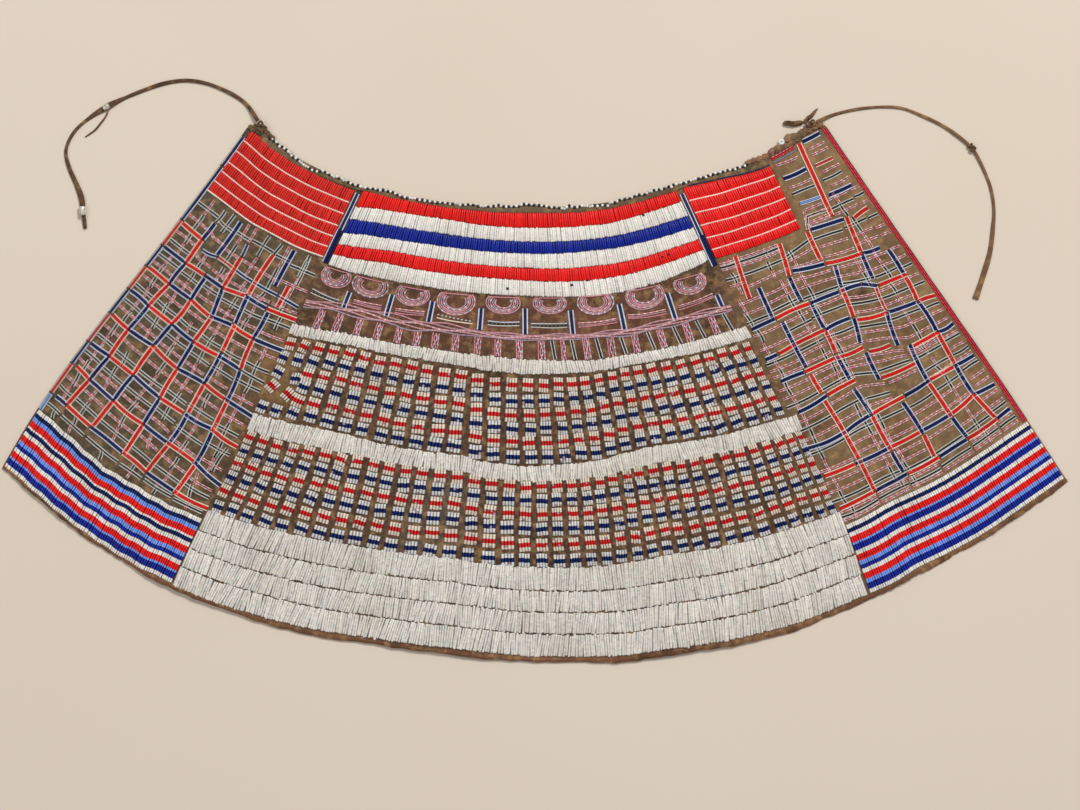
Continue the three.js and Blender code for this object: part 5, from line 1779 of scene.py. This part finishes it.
left_knot = knot("left_corner_knot_leather", "left_corner_knot", (-294.5, 287.5, 6.2), (6.6, 4.6, 2.0),
                 -0.9, 3, 2.3, dull_leather)
right_knot = knot("right_corner_knot_leather", "right_corner_knot", (297.5, 290.5, 6.2), (6.0, 3.8, 2.0),
                  0.35, 3, 2.3, thong_leather)
tie_knot = knot("right_tie_knot_leather", "tie_right_knot", (472, 265, 3.0), (4.4, 3.4, 1.5),
                -0.85, 2, 2.5, thong_leather)

# %% [markdown]
# ## Toggle and strand
#
# At the right corner lie a short dark toggle and a strand of leather. Both lie on the floor and
# are sticks that taper at their ends, with slight swells along them.

# %% Toggle and strand


FLATTENED = 0.85  # height as a share of width
TOGGLE_TAPER = ((0, 0.55), (0.12, 0.95), (0.5, 1.0), (0.9, 0.9), (1, 0.6))
STRAND_TAPER = ((0, 0.8), (0.3, 1.0), (0.7, 0.8), (1, 0.25))


def wrapped_stick(name, node, start, end, radius, taper, material):
    """A short tapered stick of leather on the floor from start to end."""
    t = np.linspace(0, 1, 33)
    half_width = radius * np.interp(t, *zip(*taper)) * (1 + 0.04 * np.sin(t * 27))
    places = np.stack([
        start[0] * (1 - t) + end[0] * t,
        start[1] * (1 - t) + end[1] * t + 0.5 * np.sin(t * 9),
        0.15 + half_width * FLATTENED,
    ], axis=1)
    return settle(tube(name, places, half_width, half_width * FLATTENED), material, "thong", node)


toggle_leather = leather("toggle_leather", (66, 46, 34), 0.4, 0.0005)
toggle = wrapped_stick("right_corner_toggle_leather", "right_corner_toggle", (268.8, 291.2), (289.4, 291.8),
                       2.9, TOGGLE_TAPER, toggle_leather)
strand = wrapped_stick("right_corner_strand_leather", "right_corner_strand", (291.5, 293.2), (305.8, 307.2),
                       2.3, STRAND_TAPER, thong_leather)

# %% [markdown]
# ## Metal beads
#
# The left tie carries two worn metal beads, short barrels with rolled rims. Wear leaves their
# colour and gloss uneven.

# %% Worn metal
metal = bpy.data.materials.new("worn_metal")
metal.use_nodes = True
tree = metal.node_tree
shader = tree.nodes["Principled BSDF"]
shader.inputs["Metallic"].default_value = 0.35
place = object_place(tree)
wear = remap(tree, noise(tree, place, 900, 4), 0.35, 0.65)
tree.links.new(blend_colour(tree, wear, opaque((238, 232, 222)), opaque((158, 142, 122))),
               shader.inputs["Base Color"])
tree.links.new(remap(tree, noise(tree, place, 600, 3), 0.3, 0.7, 0.25, 0.5), shader.inputs["Roughness"])

# %% [markdown]
# ### Their shape
#
# A barrel starts as a cylinder. Its edges are beveled, its middle is bulged, a shallow groove
# near each end leaves the rim standing, and then it is turned to lie along the thong.

# %% Metal beads


def metal_bead(name, node, at, towards, radius, length):
    """A barrel round the thong at a place, turned towards another place on it."""
    bpy.ops.object.select_all(action="DESELECT")
    angle = math.atan2(towards[1] - at[1], towards[0] - at[0])
    bpy.ops.mesh.primitive_cylinder_add(vertices=20, radius=radius * MM * 0.86, depth=length * MM)
    piece = bpy.context.object
    piece.name = name
    bpy.ops.object.mode_set(mode="EDIT")
    bpy.ops.mesh.select_all(action="SELECT")
    bpy.ops.mesh.bevel(offset=0.5 * MM, segments=3, affect="EDGES")
    bpy.ops.object.mode_set(mode="OBJECT")
    for vertex in piece.data.vertices:
        along = vertex.co.z / (length * MM / 2)
        bulge = 1 + 0.16 * (1 - along * along)
        groove = 1 - 0.08 * math.exp(-((abs(along) - 0.62) / 0.1) ** 2)
        vertex.co.x *= bulge * groove
        vertex.co.y *= bulge * groove
    points = np.array([v.co[:] for v in piece.data.vertices])
    turned = np.stack([
        points[:, 2] * math.cos(angle) - points[:, 1] * math.sin(angle),
        points[:, 2] * math.sin(angle) + points[:, 1] * math.cos(angle),
        points[:, 0],
    ], axis=1) + np.array(at) * MM
    piece.data.vertices.foreach_set("co", turned.ravel())
    make_outward(piece)
    bpy.ops.object.select_all(action="DESELECT")
    piece.select_set(True)
    bpy.ops.object.shade_smooth_by_angle(angle=math.radians(45))
    return settle(piece, metal, "metal_bead", node)


join_bead = metal_bead("tie_left_join_metal", "tie_left_join", (-462, 309, 3.4), (-477, 300.3), 3.2, 7)
end_bead = metal_bead("tie_left_end_metal", "tie_left_bead", (-487.5, 197, 4.2), (-486.5, 178), 4.1, 9.5)

# %% [markdown]

# %% [markdown]
# ## Floor and light
#
# The floor is plain and pale. One large soft light stands high at the upper right, so that low
# swells and rows of beads throw short soft shadows to the lower left. A weak light on the left and
# the world fill the rest.

# %% Floor and lights
bpy.ops.object.select_all(action="DESELECT")
bpy.ops.mesh.primitive_plane_add(size=6, location=(0, 0, -0.0003))
floor = bpy.context.object
floor.name = "floor"
floor_paint = bpy.data.materials.new("floor_paint")
floor_paint.use_nodes = True
tree = floor_paint.node_tree
shader = tree.nodes["Principled BSDF"]
cloudy = remap(tree, noise(tree, object_place(tree), 1.5, 2), 0.3, 0.7)
painted = blend_colour(tree, cloudy, opaque((221, 206, 189)), opaque((224, 210, 194)))
tree.links.new(painted, shader.inputs["Base Color"])
shader.inputs["Roughness"].default_value = 0.8
floor.data.materials.append(floor_paint)


def soft_light(name, place, size, power, colour):
    """A round soft light that shines at the middle of the floor."""
    bpy.ops.object.light_add(type="AREA", location=place)
    light = bpy.context.object
    light.name = name
    light.data.shape = "DISK"
    light.data.size = size
    light.data.energy = power
    light.data.color = colour
    x, y, z = place
    light.rotation_euler = (math.atan2(math.hypot(x, y), z), 0, math.atan2(y, x) + math.pi / 2)


soft_light("key_light", (2.2, 3.4, 5.2), 1.9, 290, (1.0, 0.985, 0.965))
soft_light("fill_light", (-2.4, 0.4, 3.4), 2.4, 30, (0.98, 0.99, 1.0))
world = bpy.context.scene.world or bpy.data.worlds.new("studio")
bpy.context.scene.world = world
world.use_nodes = True
background = world.node_tree.nodes["Background"]
background.inputs["Color"].default_value = (1.0, 0.99, 0.97, 1)
background.inputs["Strength"].default_value = 0.33
bpy.context.scene.view_settings.view_transform = "Standard"

# %% [markdown]
# ## Triangles
#
# The triangles of all the bead pieces are added up and printed beside those of the hide. The
# beads, the hem and the ties have to keep close to the frame's size.

# %% Triangles


total = sum(count for _, count in sewn)
print("bead triangles", total, "hide", 2 * len(hide.data.polygons))
